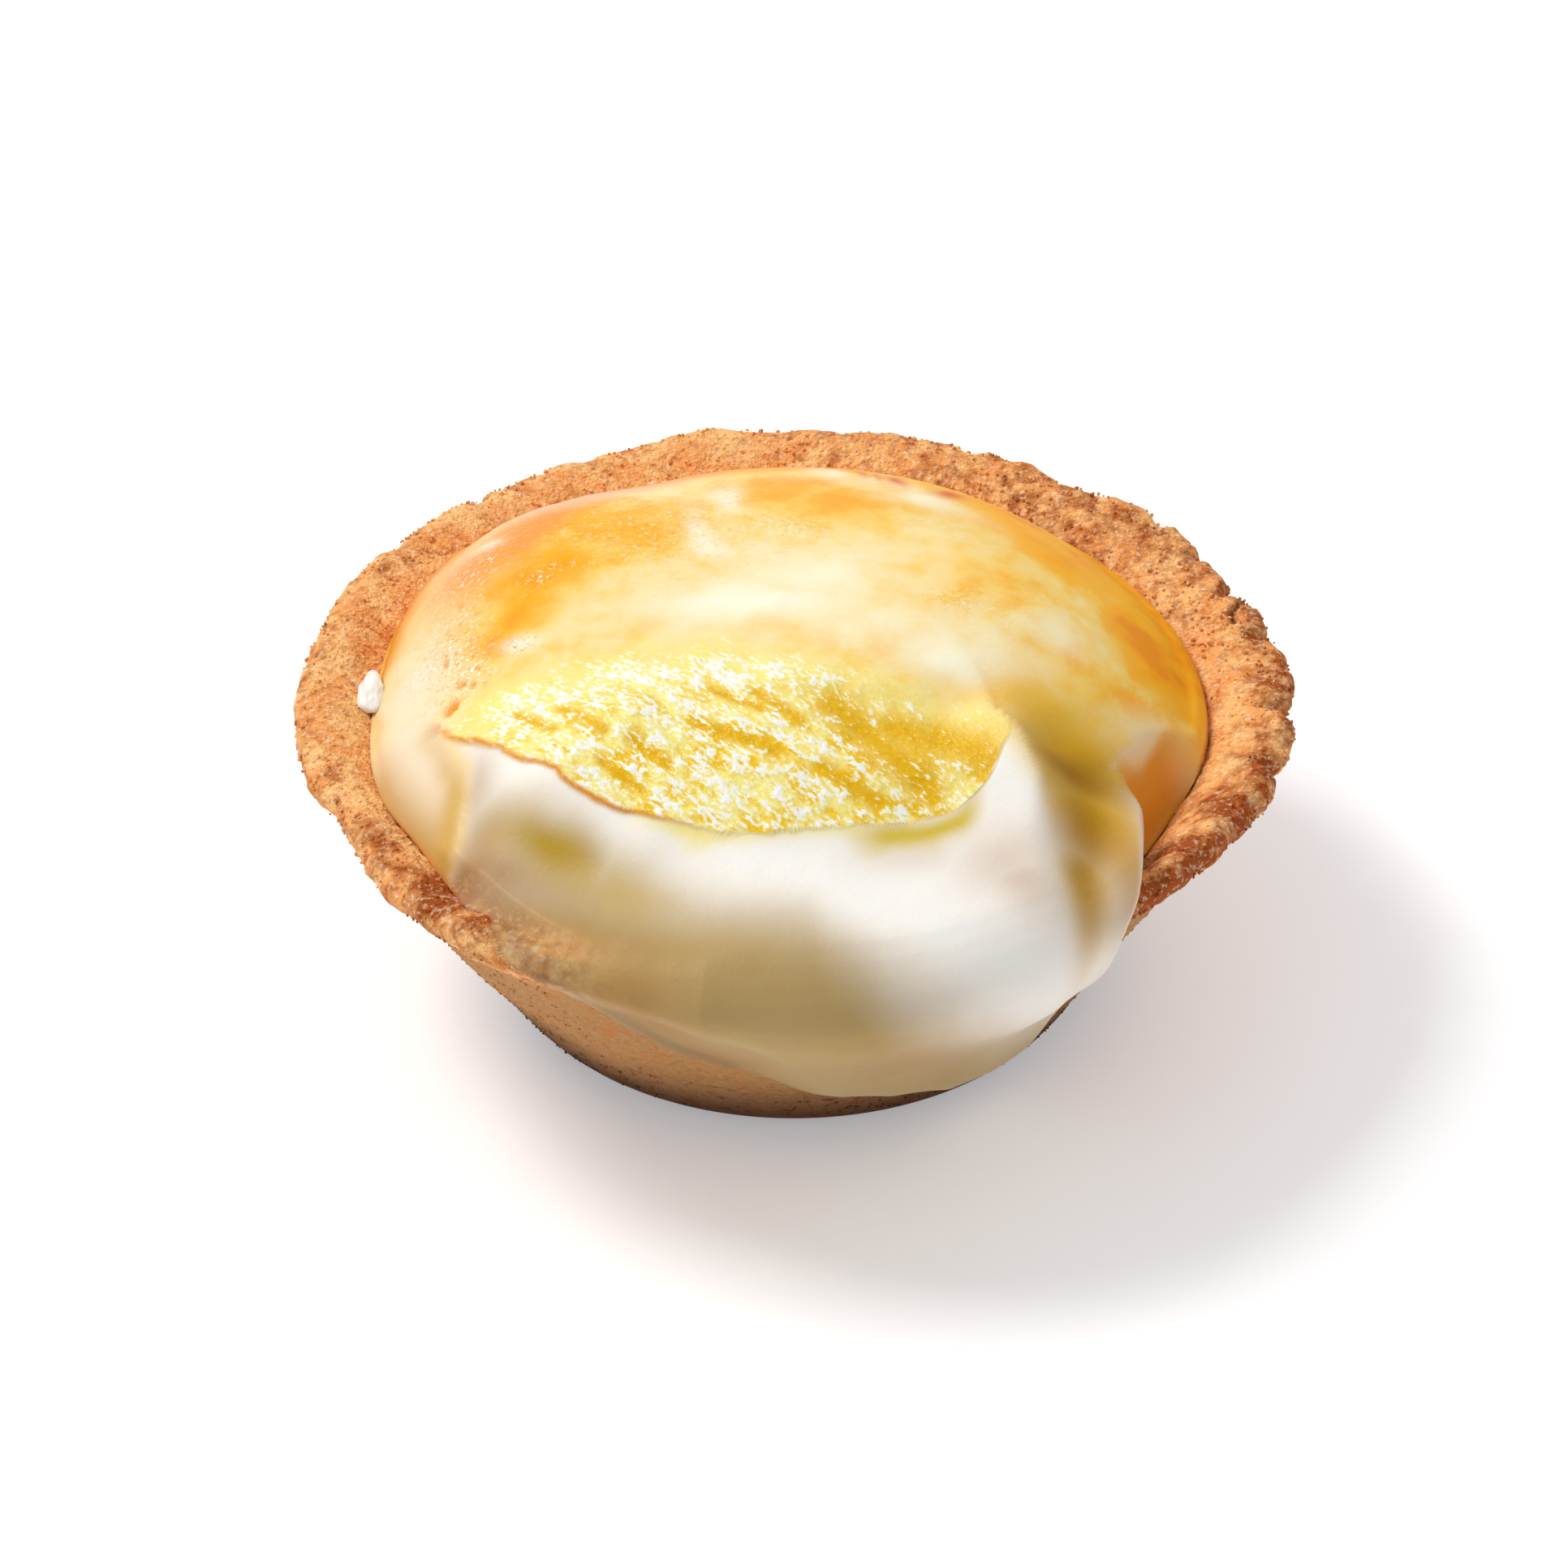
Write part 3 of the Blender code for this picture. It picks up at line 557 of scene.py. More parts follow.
def spots(x, y, places):
    """Soft spots whose outlines wander by a millimetre or two."""
    warp_x = x + 1.3 * crumble(x, y, 1, 4) + 0.5 * crumble(x, y, 2, 1.4)
    warp_y = y + 1.3 * crumble(x, y, 5, 4) + 0.5 * crumble(x, y, 6, 1.4)
    return soft_spots(warp_x, warp_y, places)


def torn(x, y):
    """Signed distance from the ragged, torn edge of the skin, positive on the soft cheese."""
    distance, side = line_distance(x, y, TEAR_LINE)
    ragged = 0.3 * crumble(x, y, 0, 2.6) + 0.16 * crumble(x, y, 3, 0.9)
    return distance * side + ragged


def beside_run(x, y):
    """Signed distance from the skin left of the run, positive on the run."""
    distance, side = line_distance(x, y, SKIN_SIDE)
    return -distance * side + 0.4 * crumble(x, y, 0, 3)


def streaks(x, y, seed):
    """Noise drawn out along the way the skin was pulled, back left to front right."""
    along, across = 0.707 * (x - y), 0.707 * (x + y)
    wander = 0.7 * crumble(x, y, seed, 3.5)
    broad = crumble(along / 2.6, across + wander, seed, 0.9)
    fine = crumble(along / 2.2, across + wander, seed + 9, 0.45)
    return 0.6 * broad + 0.5 * fine


def groove_marks(x, y):
    """Depth of the grooves, and a mark that is 1 in them."""
    depth, inside = np.zeros(np.shape(x)), np.zeros(np.shape(x))
    for start, end, width, amount in GROOVES:
        near = near_line(x, y, (start, end), width)
        depth, inside = np.maximum(depth, amount * near), np.maximum(inside, near)
    return depth, inside


def into_band(x, y):
    """How far a place lies in front of the frothy band's back edge."""
    return np.interp(x, *np.array(BAND_BACK).T) - y + 1.2 * crumble(x, y, 7, 2.2)


def toasted(x, y, angle, reach):
    """How far the skin is browned near its edge, in uneven patches."""
    inside = contact_reach(angle) - reach
    wander = 2.6 * crumble(x, y, 3, 6) + 1.2 * crumble(x, y, 8, 2.5)
    amount = np.interp(angle, *np.array(TOASTED_EDGE).T)
    width = 11 + 6 * hump(angle, 90, 62)
    return amount * (1 - rise(inside + wander, 0.5, width))


def beyond_ridge(x, y):
    """0 left of the ridge, 1 at its right: sharp at the ridge's top and soft lower down."""
    distance, side = line_distance(x, y, RIDGE)
    lower = rise(-y, 19, 30)
    return rise(-distance * side, -2.2 * lower, 0.9 + 2 * lower)


def feathered(angle):
    """1 where the run thins out gently at its left, and 0 where it ends in a bead."""
    return plateau(angle, *THIN_ARC)


def in_notch(angle):
    """1 where the dome's edge faces the notch at the right of the run."""
    return plateau(angle, *NOTCH_ARC)


def inside_edge(x, y, edge):
    """How far inside the cheese's edge a place lies, along its line to the patch's centre."""
    centre = np.array(PATCH_CENTRE)
    off = edge - centre
    turn, out = np.arctan2(*off.T[::-1]), np.hypot(*off.T)
    own_turn, own_out = np.arctan2(y - centre[1], x - centre[0]), np.hypot(x - centre[0], y - centre[1])
    order = np.argsort(turn)
    return np.interp(own_turn, turn[order], out[order], period=2 * np.pi) - own_out


def smeared(x, y, angle, reach, inside):
    """A mark of the zone where the run thins out, and how far the cheese hides the crust in it."""
    zone = feathered(angle) * rise(reach, 32, 35)
    hidden = rise(inside + 1.6 * crumble(x, y, 4, 3), -7, 6)
    thin_end = (1 - rise(angle, -130, -106)) * rise(reach, 33, 36.5)
    return zone, zone * hidden * (1 - 0.8 * thin_end)


# ---- meshes

def closed_skin(count, sides):
    """Faces of a closed skin: count rings of sides points, and one point before and after them."""
    ring = np.arange(sides)
    after = (ring + 1) % sides
    start = 1 + sides * np.arange(count - 1)[:, None]
    quads = np.stack([start + ring, start + sides + ring, start + sides + after, start + after], axis=-1)
    last = 1 + sides * count
    top = np.stack([np.zeros(sides, int), 1 + ring, 1 + after], axis=-1)
    bottom = np.stack([np.full(sides, last), last - sides + after, last - sides + ring], axis=-1)
    return quads.reshape(-1, 4), np.vstack([top, bottom])


def new_piece(name, points, quads, triangles, material, marks=None):
    """A smooth piece from points in millimetres, arrays of faces, and named values at its points."""
    mesh = bpy.data.meshes.new(name)
    mesh.vertices.add(len(points))
    mesh.vertices.foreach_set("co", (points * MILLIMETRE).astype(np.float32).ravel())
    corners = np.concatenate([quads.ravel(), triangles.ravel()]).astype(np.int32)
    sizes = np.repeat([4, 3], [len(quads), len(triangles)]).astype(np.int32)
    mesh.loops.add(len(corners))
    mesh.loops.foreach_set("vertex_index", corners)
    mesh.polygons.add(len(sizes))
    mesh.polygons.foreach_set("loop_start", (np.cumsum(sizes) - sizes).astype(np.int32))
    mesh.update(calc_edges=True)
    mesh.validate()
    for mark, values in (marks or {}).items():
        layer = mesh.attributes.new(mark, "FLOAT", "POINT")
        layer.data.foreach_set("value", values.astype(np.float32).ravel())
    mesh.materials.append(material)
    mesh.shade_smooth()
    thing = bpy.data.objects.new(name, mesh)
    bpy.context.scene.collection.objects.link(thing)
    return thing


def skin_values(grid):
    """Values of a closed skin's points, from a grid whose first and last rows are one point each."""
    return np.concatenate([grid[0, :1], grid[1:-1].reshape(-1, *grid.shape[2:]), grid[-1, :1]])


def make_shell(material):
    """The shortcrust shell: rings from the middle of its floor over the rim to the middle of its foot.

    The points are those of the turned, uneven line, moved along their normals by the crumb's height.
    """
    reach = np.concatenate([np.linspace(0, 26, 8), np.arange(26.25, 41, 0.235),
                            np.arange(41.1, 49.4, 0.17), np.linspace(49.5, FOOT_REACH, 8)])
    reach, angle = np.meshgrid(reach, np.arange(SHELL_SIDES) * 360 / SHELL_SIDES, indexing="ij")
    points = shell_surface(angle, reach)
    coarse = plateau(reach, *CRUMBLY_BAND) * (1 - 0.55 * on_outer_wall(reach))
    x, y, z = np.moveaxis(points, -1, 0)
    crack = near_line(x, y, CRACK, CRACK_WIDTH) * plateau(reach, *CRACK_BAND)
    relief = crust_grain(points, coarse) - CRACK_DEPTH * crack
    points = points + ring_normals(points) * relief[..., None]
    points = np.concatenate([points, np.zeros((1, SHELL_SIDES, 3))])
    marks = {**crust_marks(x, y, z, angle, reach), "crack": crack}
    marks = {name: skin_values(np.concatenate([grid, grid[-1:]])) for name, grid in marks.items()}
    faces = closed_skin(len(points) - 2, SHELL_SIDES)
    shell = new_piece("shortcrust_shell", skin_values(points), *faces, material, marks)
    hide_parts("tart_shell")
    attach(shell, "root")


def on_outer_wall(reach):
    """1 on the shell's outer wall, and 0 on its rim and inside."""
    return rise(reach, 39, 41.5)


def crust_marks(x, y, z, angle, reach):
    """The named values that the colour of baked crust is painted by."""
    wall = on_outer_wall(reach)
    outer_rim = plateau(reach, *BROWNED_BAND)
    crest = outer_rim * np.maximum(0.75 * hump(angle, 15, 60), hump(angle, -38, 36))
    # a painted shadow line under the rim's lip at the left front, added to the browning
    lip = 0.75 * plateau(reach, *LIP_SHADOW_BAND) * plateau(angle, *LIP_SHADOW_ARC)
    inner = np.maximum(spots(x, y, CRUST_BROWNED), 0.42 * hump(angle, 52, 62)) * (1 - wall)
    return {
        "wall": wall,
        "sandy": (0.45 - 0.35 * wall) * (1 - bare_wall(angle, reach)),
        # browning of the crust, with the painted shadow line under the lip
        "browned": np.maximum.reduce([inner, crest, 0.3 * outer_rim, lip]),
        # darker towards the foot: toasted there, and painted contact shade near the floor
        "foot": 1 - rise(z, 0, DARK_FOOT_HEIGHT),
    }


def chart_places(edge, share):
    """x, y, angle and reach of places, from the patch's centre out to its edge by share."""
    centre = np.array(PATCH_CENTRE)
    x, y = np.moveaxis(centre + share[:, None, None] * (edge - centre), -1, 0)
    return x, y, np.degrees(np.arctan2(y, x)), np.hypot(x, y)


def cheese_layers(x, y, angle, reach, edge):
    """Points of the underside and the top, which meet at the edge, and the distance from the edge."""
    distance = line_distance(x, y, np.vstack([edge[::3], edge[:1]]))[0]
    feather = feathered(angle) * rise(reach, 32.5, 35.5)
    tuck = TUCK * feather * (1 - rise(distance, 0, 1.5))
    under = shell_surface(angle, reach, CHEESE_GAP)
    free = cheese_top(x, y, angle, reach)
    normal = ring_normals(under)
    clear = ((free - under) * normal).sum(-1)
    free = free + normal * (smooth_max(clear, 0.05, 0.1) - clear)[..., None]
    under = under - normal * tuck[..., None]
    notch = in_notch(angle)
    rounding = EDGE_ROUNDING + (NOTCH_FILLET - EDGE_ROUNDING) * notch
    rounding = rounding + (CRISP_ROUNDING - EDGE_ROUNDING) * plateau(angle, *CRISP_ARC)
    near = np.clip(distance / (rounding + FEATHER_WIDTH * feather), 0, 1)
    bead = np.sqrt(1 - (1 - near) ** 2)
    share = bead + (rise(near, 0, 1) - bead) * np.maximum(feather, notch)
    return under, under + (free - under) * share[..., None], distance


def cheese_relief(points, x, y, tear, soft, foam, thin):
    """Height of the fine relief: the sum of torn lip, froth, curds, faint waves, bead, pits and crumb."""
    place = np.moveaxis(points, -1, 0)
    lip = SKIN_THICKNESS * (1 - soft) * np.exp(np.minimum(tear, 0) / 1.6) * plateau(x, -27, -24, -14, -4)
    froth = foam * (0.12 * streaks(x, y, 0) - 0.5 * groove_marks(x, y)[0])
    skin = (1 - soft) * (0.1 * crumble(*place, 5) + 0.04 * crumble(*place, 1.6))
    curdled = blob(x, y, (-26.5, 1), (2.6, 6))
    curds = curdled * (0.16 * crumble(*place, 1.1) + 0.1 * crumble(*place, 0.55))
    smooth = soft * (0.12 * crumble(*place, 6) + 0.02 * crumble(*place, 1.2))
    raised = 0.35 * near_line(x, y, BEAD, 0.45) + 0.32 * near_line(x, y, LOBE, 2.4) * soft
    pits = 0.25 * soft_spots(x, y, SPECKS, sharp=True)
    return lip + froth + skin + curds + smooth + raised - pits + thin * crust_grain(points, 0.35)


def cheese_marks(x, y, angle, reach, distance, tear, soft, foam, thin):
    """The named values that the cheese's material is painted by."""
    skin = 1 - soft
    wet = rise(into_band(x, y), 3, 10)
    grooves = groove_marks(x, y)[1]
    scoop = rise(x, 2, 12) * rise(y, -19.5, -16)
    density = 0.55 - 0.38 * grooves - 0.34 * scoop - 0.08 * wet

    past = reach - at_angle(angle, TURNING) + 0.6 * crumble(x, y, 4, 4)
    # painted shade: the run's front, beige below its lit top, with some of the tone of its thinner cheese
    turned = rise(past, -2, 8) * plateau(angle, *RUN_ARC) * (1 - 0.35 * hump(angle, -142, 16))
    shaded_olive = soft_spots(x + 0.6 * crumble(x, y, 9, 3), y + 0.6 * crumble(x, y, 4, 3), SHADED_OLIVE)
    right = beyond_ridge(x, y)
    wavy = tear + 0.5 * crumble(x, y, 2, 2.5)
    # painted shadow cast by the torn skin's overhang onto the soft cheese under it
    painted_skin_shadow = np.exp(-((wavy - 0.9) / 1.3) ** 2) * plateau(x, 3, 7, 12, 14.5)
    fringe = np.exp(-(np.maximum(wavy, 0) / 0.9) ** 2) * plateau(x, -14, -8, 3, 8)
    torn_line = np.exp(-((tear + 0.1) / 0.2) ** 2) * plateau(x, -27.5, -25, -14, -5) * (y < -4)

    beside = beside_run(x, y)
    side = rise(-beside, -0.4, 0.8) * plateau(angle, *SIDE_ARC) * rise(reach, 26.5, 28.5)
    dividing = np.exp(-((beside + 0.6) / 1.1) ** 2) * plateau(reach, *DIVIDING_BAND) * (angle < -90)
    peach = plateau(angle, *PEACH_ARC) * rise(reach, 18.5, 22.5) * (1 - 0.45 * rise(reach, 24, 29))
    back_edge = plateau(angle, *BACK_ARC) * rise(reach, 18, 21) * skin * (1 - foam)

    notch = in_notch(angle)
    faced = distance + 0.2 * crumble(x, y, 1, 1.6)
    # painted highlights: a white line along the run's right edge, and one along the dome's edge in the notch
    edge_highlight = plateau(angle, *EDGE_HIGHLIGHT_ARC) * (1 - rise(distance, 0.2, 0.8))
    notch_highlight_line = notch * np.exp(-((faced - 2.9) / 0.22) ** 2)
    around = (1 - plateau(angle, *UNBORDERED_ARC)) * (1 - 0.8 * hump(angle, -165, 45)) * (1 - notch)
    return dict(
        soft=soft, foam=foam, thin=thin, wet=foam * wet, groove=foam * grooves,
        froth=np.clip(density, 0, 1) * foam,
        brown=np.maximum(spots(x, y, BROWNED), toasted(x, y, angle, reach)) * (1 - 0.8 * foam),
        # paler skin, with a painted highlight of glare
        pale=spots(x, y, PALE_AND_GLARE) * (1 - foam), fleck=spots(x, y, FLECKS),
        speck=soft_spots(x, y, SPECKS, sharp=True),
        peach=np.maximum(peach, soft_spots(x, y, PEACHY)) * skin, cream=soft_spots(x, y, CREAMY),
        # blisters, and white glints painted on them as highlights
        blisters_and_glints=spots(x, y, BLISTERS_AND_GLINTS) * (1 - foam) * skin, bead=near_line(x, y, BEAD, 0.6),
        side=side, side_low=side * rise(reach, 29.5, 33), dividing=0.8 * dividing,
        # painted shadow under the torn skin's overhang
        tear=torn_line, painted_skin_shadow=painted_skin_shadow * soft, fringe=0.8 * fringe * soft,
        # painted shade on the run's front and in its hollows
        turned=turned * soft, shaded_olive=shaded_olive * soft,
        # the cheese's yellow with painted shade in the valley
        shaded_gold=soft_spots(x, y, SHADED_GOLD) * right, deep_shaded_gold=soft_spots(x, y, DEEP_SHADED_GOLD) * right,
        # painted shade on the run, beige and dark
        beige_shade=soft_spots(x, y, BEIGE_SHADE) * soft, low_shade=spots(x, y, LOW_SHADE) * soft,
        # the notch's amber, painted lighter for light that shines through the cheese into its shade
        notch=notch * (1 - rise(faced, 2.3, 2.7)),
        # painted highlight along the cheese's right edges
        painted_edge_highlight=np.maximum(0.8 * edge_highlight, 0.3 * notch_highlight_line),
        border=around * (1 - rise(distance, 0.1, 0.4)),
        matt=np.maximum.reduce([thin, 0.5 * soft, soft_spots(x, y, MATT)]) + 0.7 * back_edge,
    )


def make_cheese(material):
    """The cheese, from the top of its patch's centre out to its edge and back under itself."""
    edge = patch_edge(PATCH_SIDES)
    shares = [*(np.linspace(*part, endpoint=False) for part in TOP_RINGS), [1]]
    x, y, angle, reach = chart_places(edge, np.concatenate(shares))
    bottom, top, distance = cheese_layers(x, y, angle, reach, edge)
    tear = torn(x, y)
    past_tear = rise(tear, -0.12, 0.18)
    outer = rise(reach, 27.5, 30) * plateau(angle, *SOFT_ARC)
    soft = np.maximum(past_tear * plateau(angle, *TORN_ARC), outer) * rise(beside_run(x, y), -0.6, 1.4)
    foam = rise(into_band(x, y), -1, 5) * plateau(x, -27.5, -21, 15.4, 16.6)
    foam = foam * (1 - past_tear) * (1 - soft)
    zone, film = smeared(x, y, angle, reach, inside_edge(x, y, edge))
    thin = zone - film
    relief = cheese_relief(top, x, y, tear, soft, foam, thin) * rise(distance, 0, 1.5)
    normal = ring_normals(top)
    relief = np.maximum(relief, -0.6 * ((top - bottom) * normal).sum(-1))
    top = top + normal * relief[..., None]

    low = cheese_layers(*chart_places(edge, np.linspace(0, 1, UNDER_RINGS + 1)), edge)[0][-2::-1]
    points = np.concatenate([top, low])
    hidden = np.zeros(low.shape[:2])
    marks = cheese_marks(x, y, angle, reach, distance, tear, soft, foam, thin)
    marks.update(crust_marks(*np.moveaxis(top, -1, 0), angle, reach))
    marks = {name: skin_values(np.concatenate([grid, hidden])) for name, grid in marks.items()}
    # the underside's amber, painted lighter where it shows in the notch, for light that shines through the
    # cheese
    marks["under"] = skin_values(np.concatenate([np.zeros(x.shape), hidden + 1]))
    faces = closed_skin(len(points) - 2, PATCH_SIDES)
    cheese = new_piece("baked_cheese", skin_values(points), *faces, material, marks)
    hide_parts("cheese_filling")
    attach(cheese, "root")


def ball(count_around, count_up):
    """Points and faces of a unit ball: rings at the sine and cosine of their turn down from the top."""
    down = np.linspace(0, np.pi, count_up + 1)[:, None]
    around = np.arange(count_around) * 2 * np.pi / count_around
    rings = np.stack([np.sin(down) * np.cos(around), np.sin(down) * np.sin(around),
                      np.cos(down) + 0 * around], axis=-1)
    return skin_values(rings), closed_skin(count_up - 1, count_around)


def make_crumbs(material):
    """Crumbs on the shell: small balls, each squashed and turned its own way and half sunk in.

    A point of a crumb is its place on the shell plus its size times a turned, squashed point of a unit ball.
    """
    chance = np.random.default_rng(7)
    angle, reach = chance.uniform(-180, 180, CRUMBS), chance.uniform(31, 49, CRUMBS)
    x, y = polar(reach, angle, reach).T[:2]
    inside = inside_edge(x, y, patch_edge(PATCH_SIDES))
    film = smeared(x, y, angle, reach, inside)[1]
    kept = (inside < -0.4) & (bare_wall(angle, reach) < 0.1) & (film < 0.2)
    angle, reach = angle[kept], reach[kept]
    size = chance.uniform(*CRUMB_SIZES, len(angle)) * (1 - 0.3 * rise(reach, 39, 42))
    places = shell_surface(angle, reach)
    shape, (quads, fans) = ball(6, 4)
    turn = chance.uniform(0, 2 * np.pi, len(angle))[:, None]
    squash = chance.uniform(0.6, 1.2, (3, len(angle), 1))
    x, y, z = shape.T[:, None] * squash
    turned = np.stack([x * np.cos(turn) - y * np.sin(turn), x * np.sin(turn) + y * np.cos(turn), z], axis=-1)
    points = (places[:, None] + size[:, None, None] * turned).reshape(-1, 3)
    starts = len(shape) * np.arange(len(angle))[:, None, None]
    angle, reach = (np.repeat(values, len(shape)) for values in (angle, reach))
    faces = (quads + starts).reshape(-1, 4), (fans + starts).reshape(-1, 3)
    piece = new_piece("crust_crumbs", points, *faces, material, crust_marks(*points.T, angle, reach))
    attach(piece, "root")


def make_curd(material):
    """A curd that stuck to the crust beside the dome: a ball drawn out, its radius uneven by a third."""
    shape, (quads, fans) = ball(48, 32)
    x, y, z = shape.T
    bumps = 1 + 0.22 * crumble(x, y, z, 0.75) + 0.1 * crumble(x + 3, y, z, 0.35)
    points = np.array(CURD_PLACE) + shape * bumps[:, None] * np.array(CURD_SIZE)
    piece = new_piece("curd", points, quads, fans, material, {"soft": np.ones(len(points))})
    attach(piece, "root")


# ---- materials

def linear(code):
    """Linear red, green, blue and alpha of an sRGB hex colour."""
    parts = [int(code[i:i + 2], 16) / 255 for i in (1, 3, 5)]
    return (*[part / 12.92 if part <= 0.04045 else ((part + 0.055) / 1.055) ** 2.4 for part in parts], 1)


def add(tree, kind, inputs=None, **settings):
    """A node of that kind in tree, with its settings and inputs.

    An input is a value, a socket, an sRGB hex colour, or the name of a value that the mesh carries.
    """
    node = tree.nodes.new("ShaderNode" + kind)
    for name, value in settings.items():
        setattr(node, name, value)
    for key, value in (inputs or {}).items():
        if isinstance(value, str) and value.startswith("#"):
            value = linear(value)
        elif isinstance(value, str):
            value = add(tree, "Attribute", attribute_name=value).outputs["Fac"]
        if isinstance(value, bpy.types.NodeSocket):
            tree.links.new(value, node.inputs[key])
        else:
            node.inputs[key].default_value = value
    return node


def new_material(name, **values):
    """A Principled material with those of its inputs set: (material, tree, surface)."""
    material = bpy.data.materials.new(name)
    material.use_nodes = True
    surface = material.node_tree.nodes["Principled BSDF"]
    for key, value in values.items():
        surface.inputs[key.replace("_", " ")].default_value = value
    return material, material.node_tree, surface


def painted(tree, colour, layers):
    """A colour socket: colour, then each layer's colour mixed over it by the layer's mask."""
    for mask, over in layers:
        colour = add(tree, "Mix", {"Factor": mask, 6: colour, 7: over}, data_type="RGBA").outputs[2]
    return colour


def stacked(tree, value, layers):
    """A value socket: value, then each layer's value times the layer's share added to it."""
    for share, over in layers:
        sockets = {0: over, 1: share, 2: value}
        value = add(tree, "Math", sockets, operation="MULTIPLY_ADD").outputs[0]
    return value


def patches(tree, size_mm, detail=2, low=0, high=1, most=1, place=None):
    """A socket of uneven patches of about size_mm: 0 where their noise is below low, most above high."""
    place = place or add(tree, "TexCoord").outputs["Object"]
    raw = add(tree, "TexNoise", {"Vector": place, "Scale": 1 / (size_mm * MILLIMETRE),
                                           "Detail": detail}).outputs["Fac"]
    return add(tree, "MapRange", {"Value": raw, "From Min": low, "From Max": high,
                                            "To Max": most}).outputs["Result"]


def finish_surface(tree, surface, colour, height, strength, depth_mm):
    """Gives a surface its colour, and a relief of depth_mm from height."""
    sockets = {"Height": height, "Strength": strength, "Distance": depth_mm * MILLIMETRE}
    bump = add(tree, "Bump", sockets)
    tree.links.new(colour, surface.inputs["Base Color"])
    tree.links.new(bump.outputs["Normal"], surface.inputs["Normal"])


def crust_colour(tree):
    """Colour of baked shortcrust: sandy, browned in patches and darker down its wall, with fine grains.
    Its browning includes a painted shadow line under the lip; its dark foot is toasted, and partly painted
    contact shade.

    Real pits and grains of flour are about 0.3 mm; they are drawn at 0.4 and 0.45 mm, so that they show.
    """
    browning = stacked(tree, patches(tree, 1.1, 4), ((0.5, "browned"),))
    browned = add(tree, "MapRange", {"Value": browning, "From Min": 0.58, "From Max": 0.92})
    return painted(tree, "#ffc47e", (
        (patches(tree, 3.4, 3, 0.42, 0.6, 0.75), "#f49e56"),
        ("wall", "#bc8c56"),
        (patches(tree, 1.3, 3, 0.52, 0.7, 0.5), "#d0762e"),
        # browned crust, and the painted shadow line under the lip
        (browned.outputs["Result"], "#a85220"),
        (patches(tree, 0.45, 2, 0.54, 0.7, 0.4), "#bc6428"),
        (patches(tree, 0.4, 2, 0.54, 0.68, "sandy"), "#ffe8c4"),
        # darker at the foot: toasted there, and painted contact shade near the floor
        ("foot", "#40190a"),
        (patches(tree, 0.9, 2, 0.62, 0.68, "foot"), "#2a1208"),
        ("crack", "#5a2412"),
    ))


def baked_shortcrust():
    """Shortcrust, pressed in a tin and baked: dry, sandy and matt, browned on its lumps, with dark pits."""
    material, tree, surface = new_material("baked_shortcrust", Roughness=0.62, Specular_IOR_Level=0.05)
    height = stacked(tree, patches(tree, 0.6, 3), ((0.5, patches(tree, 0.26, 1)),))
    finish_surface(tree, surface, crust_colour(tree), height, 0.7, 0.6)
    return material


def skin_colour(tree):
    """Colour of the glazed skin: pale yellow to deep orange by how far it has browned."""
    baked = stacked(tree, "brown", ((0.28, patches(tree, 2.2, 4, 0.4, 0.7)),))
    shade = add(tree, "ValToRGB", {"Fac": baked})
    stops = ((0.04, "#f8dc96"), (0.28, "#f9cc60"), (0.5, "#fab62a"), (0.7, "#fcac08"), (0.86, "#f8a000"),
             (1, "#f09200"))
    elements = shade.color_ramp.elements
    for place, _ in stops[2:]:
        elements.new(place)
    for element, (place, code) in zip(elements, stops):
        element.position = place
        element.color = linear(code)
    return shade.outputs["Color"]


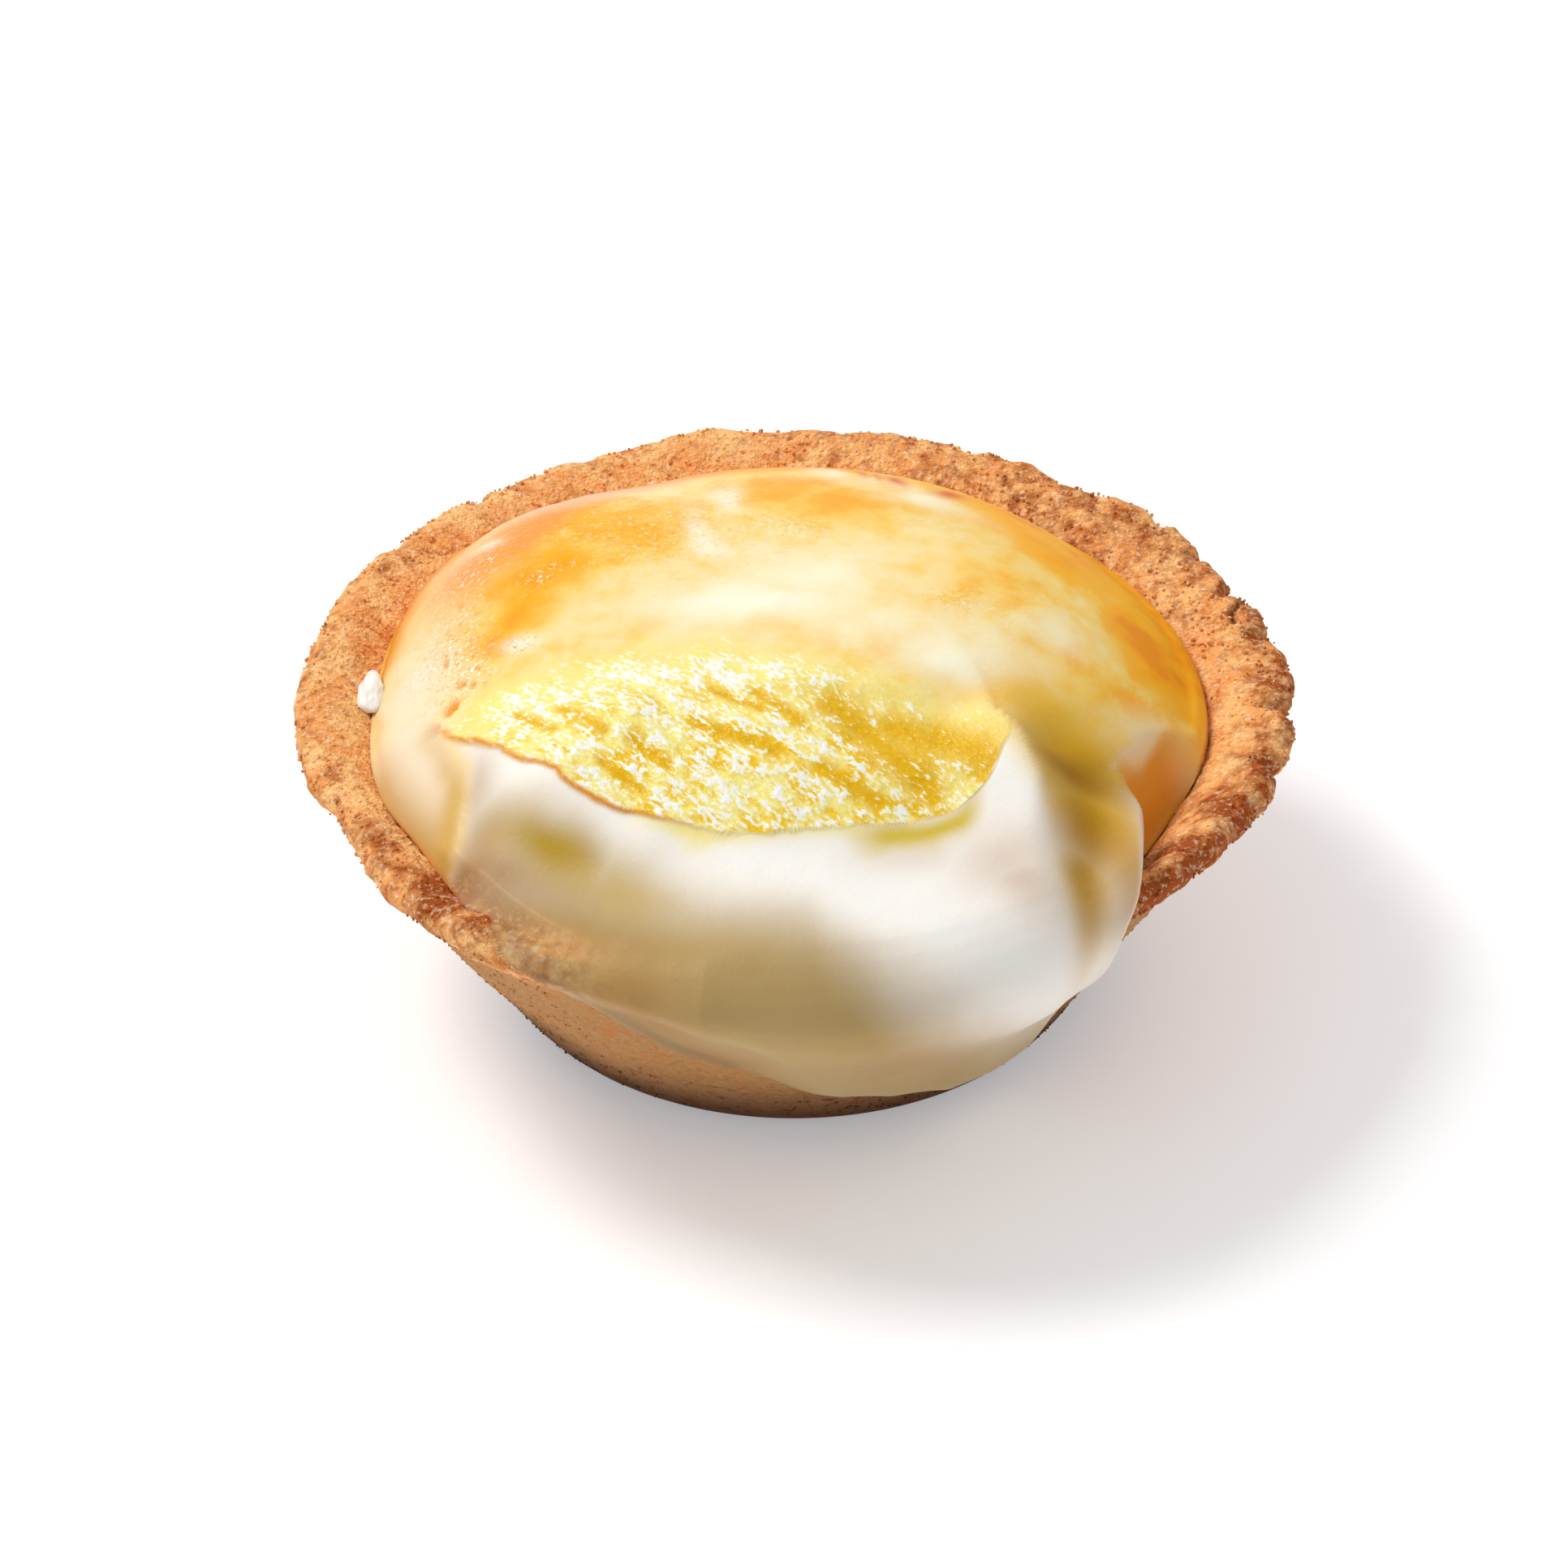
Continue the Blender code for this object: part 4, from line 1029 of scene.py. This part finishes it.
def glazed_cheese():
    """Baked cream cheese, brushed with egg: pale and satin inside, golden and glossy on its skin.

    The froth's streaks are noise in coordinates squeezed along the way the skin was pulled. Their white is
    pale froth with glints painted in it as highlights. Real streaks are about 0.2 mm wide; they are drawn at
    0.29 mm, so that they show.
    """
    material, tree, surface = new_material(
        "glazed_cheese", Specular_IOR_Level=0.2, Specular_Tint=linear("#fff0c8"), Subsurface_Weight=0.4,
        Subsurface_Radius=(1, 0.8, 0.35), Subsurface_Scale=1.2 * MILLIMETRE)
    place = add(tree, "TexCoord").outputs["Object"]
    drawn = add(tree, "Mapping", {"Vector": place, "Rotation": (0, 0, math.radians(-45)),
                                            "Scale": (2, 1, 1.3)}, vector_type="TEXTURE").outputs[0]
    streaky = stacked(tree, patches(tree, 0.29, place=drawn), ((0.7, patches(tree, 0.9, place=drawn)),))
    foaming = stacked(tree, streaky, ((0.5, "froth"),))
    creamy, froth_and_glints = (add(tree, "MapRange", {"Value": foaming, "From Min": low, "From Max": high,
                                                       "To Max": "foam"}).outputs["Result"]
                      for low, high in ((1, 1.16), (1.1, 1.22)))
    colour = painted(tree, skin_colour(tree), (
        # the skin
        # paler skin, with a painted highlight of glare
        ("peach", "#f59a3c"), ("cream", "#f7e6cc"), ("pale", "#fff8e0"),
        (patches(tree, 0.55, 2, 0.58, 0.68, "blisters_and_glints"), "#f0a040"),
        # painted highlights: white glints on the blisters
        (patches(tree, 0.38, 1, 0.6, 0.68, "blisters_and_glints"), "#fffaf0"),
        ("speck", "#ea9214"), ("side", "#f3dfc2"), ("side_low", "#cfa562"),
        # the froth: its creamy and white levels are pale froth, with glints painted in it as highlights
        ("foam", "#ffec8c"), (patches(tree, 1.5, 2, 0.56, 0.42, "wet", drawn), "#f6c81e"),
        ("groove", "#eab810"), (creamy, "#fff4b8"), (froth_and_glints, "#fffef8"),
        # the soft run
        # painted shade on the run: its front beige below the lit top, partly the tone of thinner cheese, and
        # beige and dark shaded places
        ("soft", "#fbf7f0"), ("turned", "#b69b66"), ("beige_shade", "#bf9d7c"), ("low_shade", "#a8783e"),
        # painted shade, tinted greenish yellow by the cheese's inside
        # painted shadow under the torn skin's overhang
        ("shaded_olive", "#bd9a34"), ("fringe", "#f6e173"), ("painted_skin_shadow", "#d8be48"), ("dividing", "#d2a648"),
        # the cheese's yellow with painted shade in the valley, darkest in its core
        ("shaded_gold", "#e6b41c"), ("deep_shaded_gold", "#9c6c00"),
        # lines and edges
        ("tear", "#e08f1c"), ("bead", "#e08c10"), ("fleck", "#d8480a"), ("border", "#d98a34"),
        # painted highlight along the cheese's right edges
        # the notch's and the underside's amber, painted lighter for light that shines through the cheese into
        # the shaded notch
        ("painted_edge_highlight", "#f6e2cf"), ("notch", "#eda53a"), ("under", "#ffc860"), ("thin", crust_colour(tree)),
    ))
    height = add(tree, "Math", {0: streaky, 1: "foam"}, operation="MULTIPLY").outputs[0]
    height = stacked(tree, height, ((0.2, patches(tree, 0.4)),
                                    (1, patches(tree, 0.5, 1, 0.45, 0.65, "blisters_and_glints"))))
    finish_surface(tree, surface, colour, height, 0.6, 0.3)
    rough = add(tree, "MapRange", {"Value": "matt", "To Min": 0.24, "To Max": 0.7})
    tree.links.new(rough.outputs["Result"], surface.inputs["Roughness"])
    return material


# ---- floor, light and camera

CAMERA_TILT = 35.53
CAMERA_DISTANCE = 600
CAMERA_AIM = (-0.737, 0, 16.204)
CAMERA_LENS = 182


def make_floor():
    """A plain, pale card under the foot, matt and a little bright of itself, so it stays near white."""
    material = new_material("pale_card", Base_Color=linear("#ecebec"), Roughness=0.9, Specular_IOR_Level=0.1,
                            Emission_Color=(1, 0.99, 1, 1), Emission_Strength=0.31)[0]
    corners = 1500 * np.array([(-1, -1, 0), (1, -1, 0), (1, 1, 0), (-1, 1, 0)])
    floor = new_piece("studio_floor", corners, np.array([[0, 1, 2, 3]]), np.zeros((0, 3), int), material)


def add_light(name, towards, distance, size, power, colour):
    """A square area light at distance along towards from the tart, facing it."""
    lamp = bpy.data.lights.new(name, "AREA")
    lamp.size = size * MILLIMETRE
    lamp.energy = power
    lamp.color = colour
    holder = bpy.data.objects.new(name, lamp)
    direction = Vector(towards).normalized()
    holder.location = direction * distance * MILLIMETRE + Vector((0, 0, 0.015))
    holder.rotation_euler = direction.to_track_quat("Z", "Y").to_euler()
    bpy.context.scene.collection.objects.link(holder)


def make_light():
    """Studio light: a large key from the back left, a broad sheet behind and an even, pale surround."""
    world = bpy.data.worlds.new("studio")
    world.use_nodes = True
    surround = world.node_tree.nodes["Background"].inputs
    surround["Color"].default_value = (0.97, 0.98, 1, 1)
    surround["Strength"].default_value = 0.55
    bpy.context.scene.world = world
    add_light("key", (-0.533, 0.206, 0.819), 1400, 520, 12, (1, 0.98, 0.95))
    add_light("back_sheet", (0.1, 0.85, 0.55), 1300, 700, 1.6, (1, 1, 1))
    bpy.context.scene.view_settings.view_transform = "Standard"


def make_camera():
    """The camera at the photograph's viewing angle: level left to right, looking down at the front."""
    camera = bpy.data.cameras.new("camera")
    camera.lens = CAMERA_LENS
    camera.clip_start = 0.01
    holder = bpy.data.objects.new("camera", camera)
    tilt = math.radians(CAMERA_TILT)
    away = Vector((0, -math.cos(tilt), math.sin(tilt)))
    holder.location = (Vector(CAMERA_AIM) + away * CAMERA_DISTANCE) * MILLIMETRE
    holder.rotation_euler = away.to_track_quat("Z", "Y").to_euler()
    bpy.context.scene.collection.objects.link(holder)
    bpy.context.scene.camera = holder


crust_material, cheese_material = baked_shortcrust(), glazed_cheese()
make_shell(crust_material)
make_crumbs(crust_material)
make_cheese(cheese_material)
make_curd(cheese_material)
make_floor()
make_light()
make_camera()
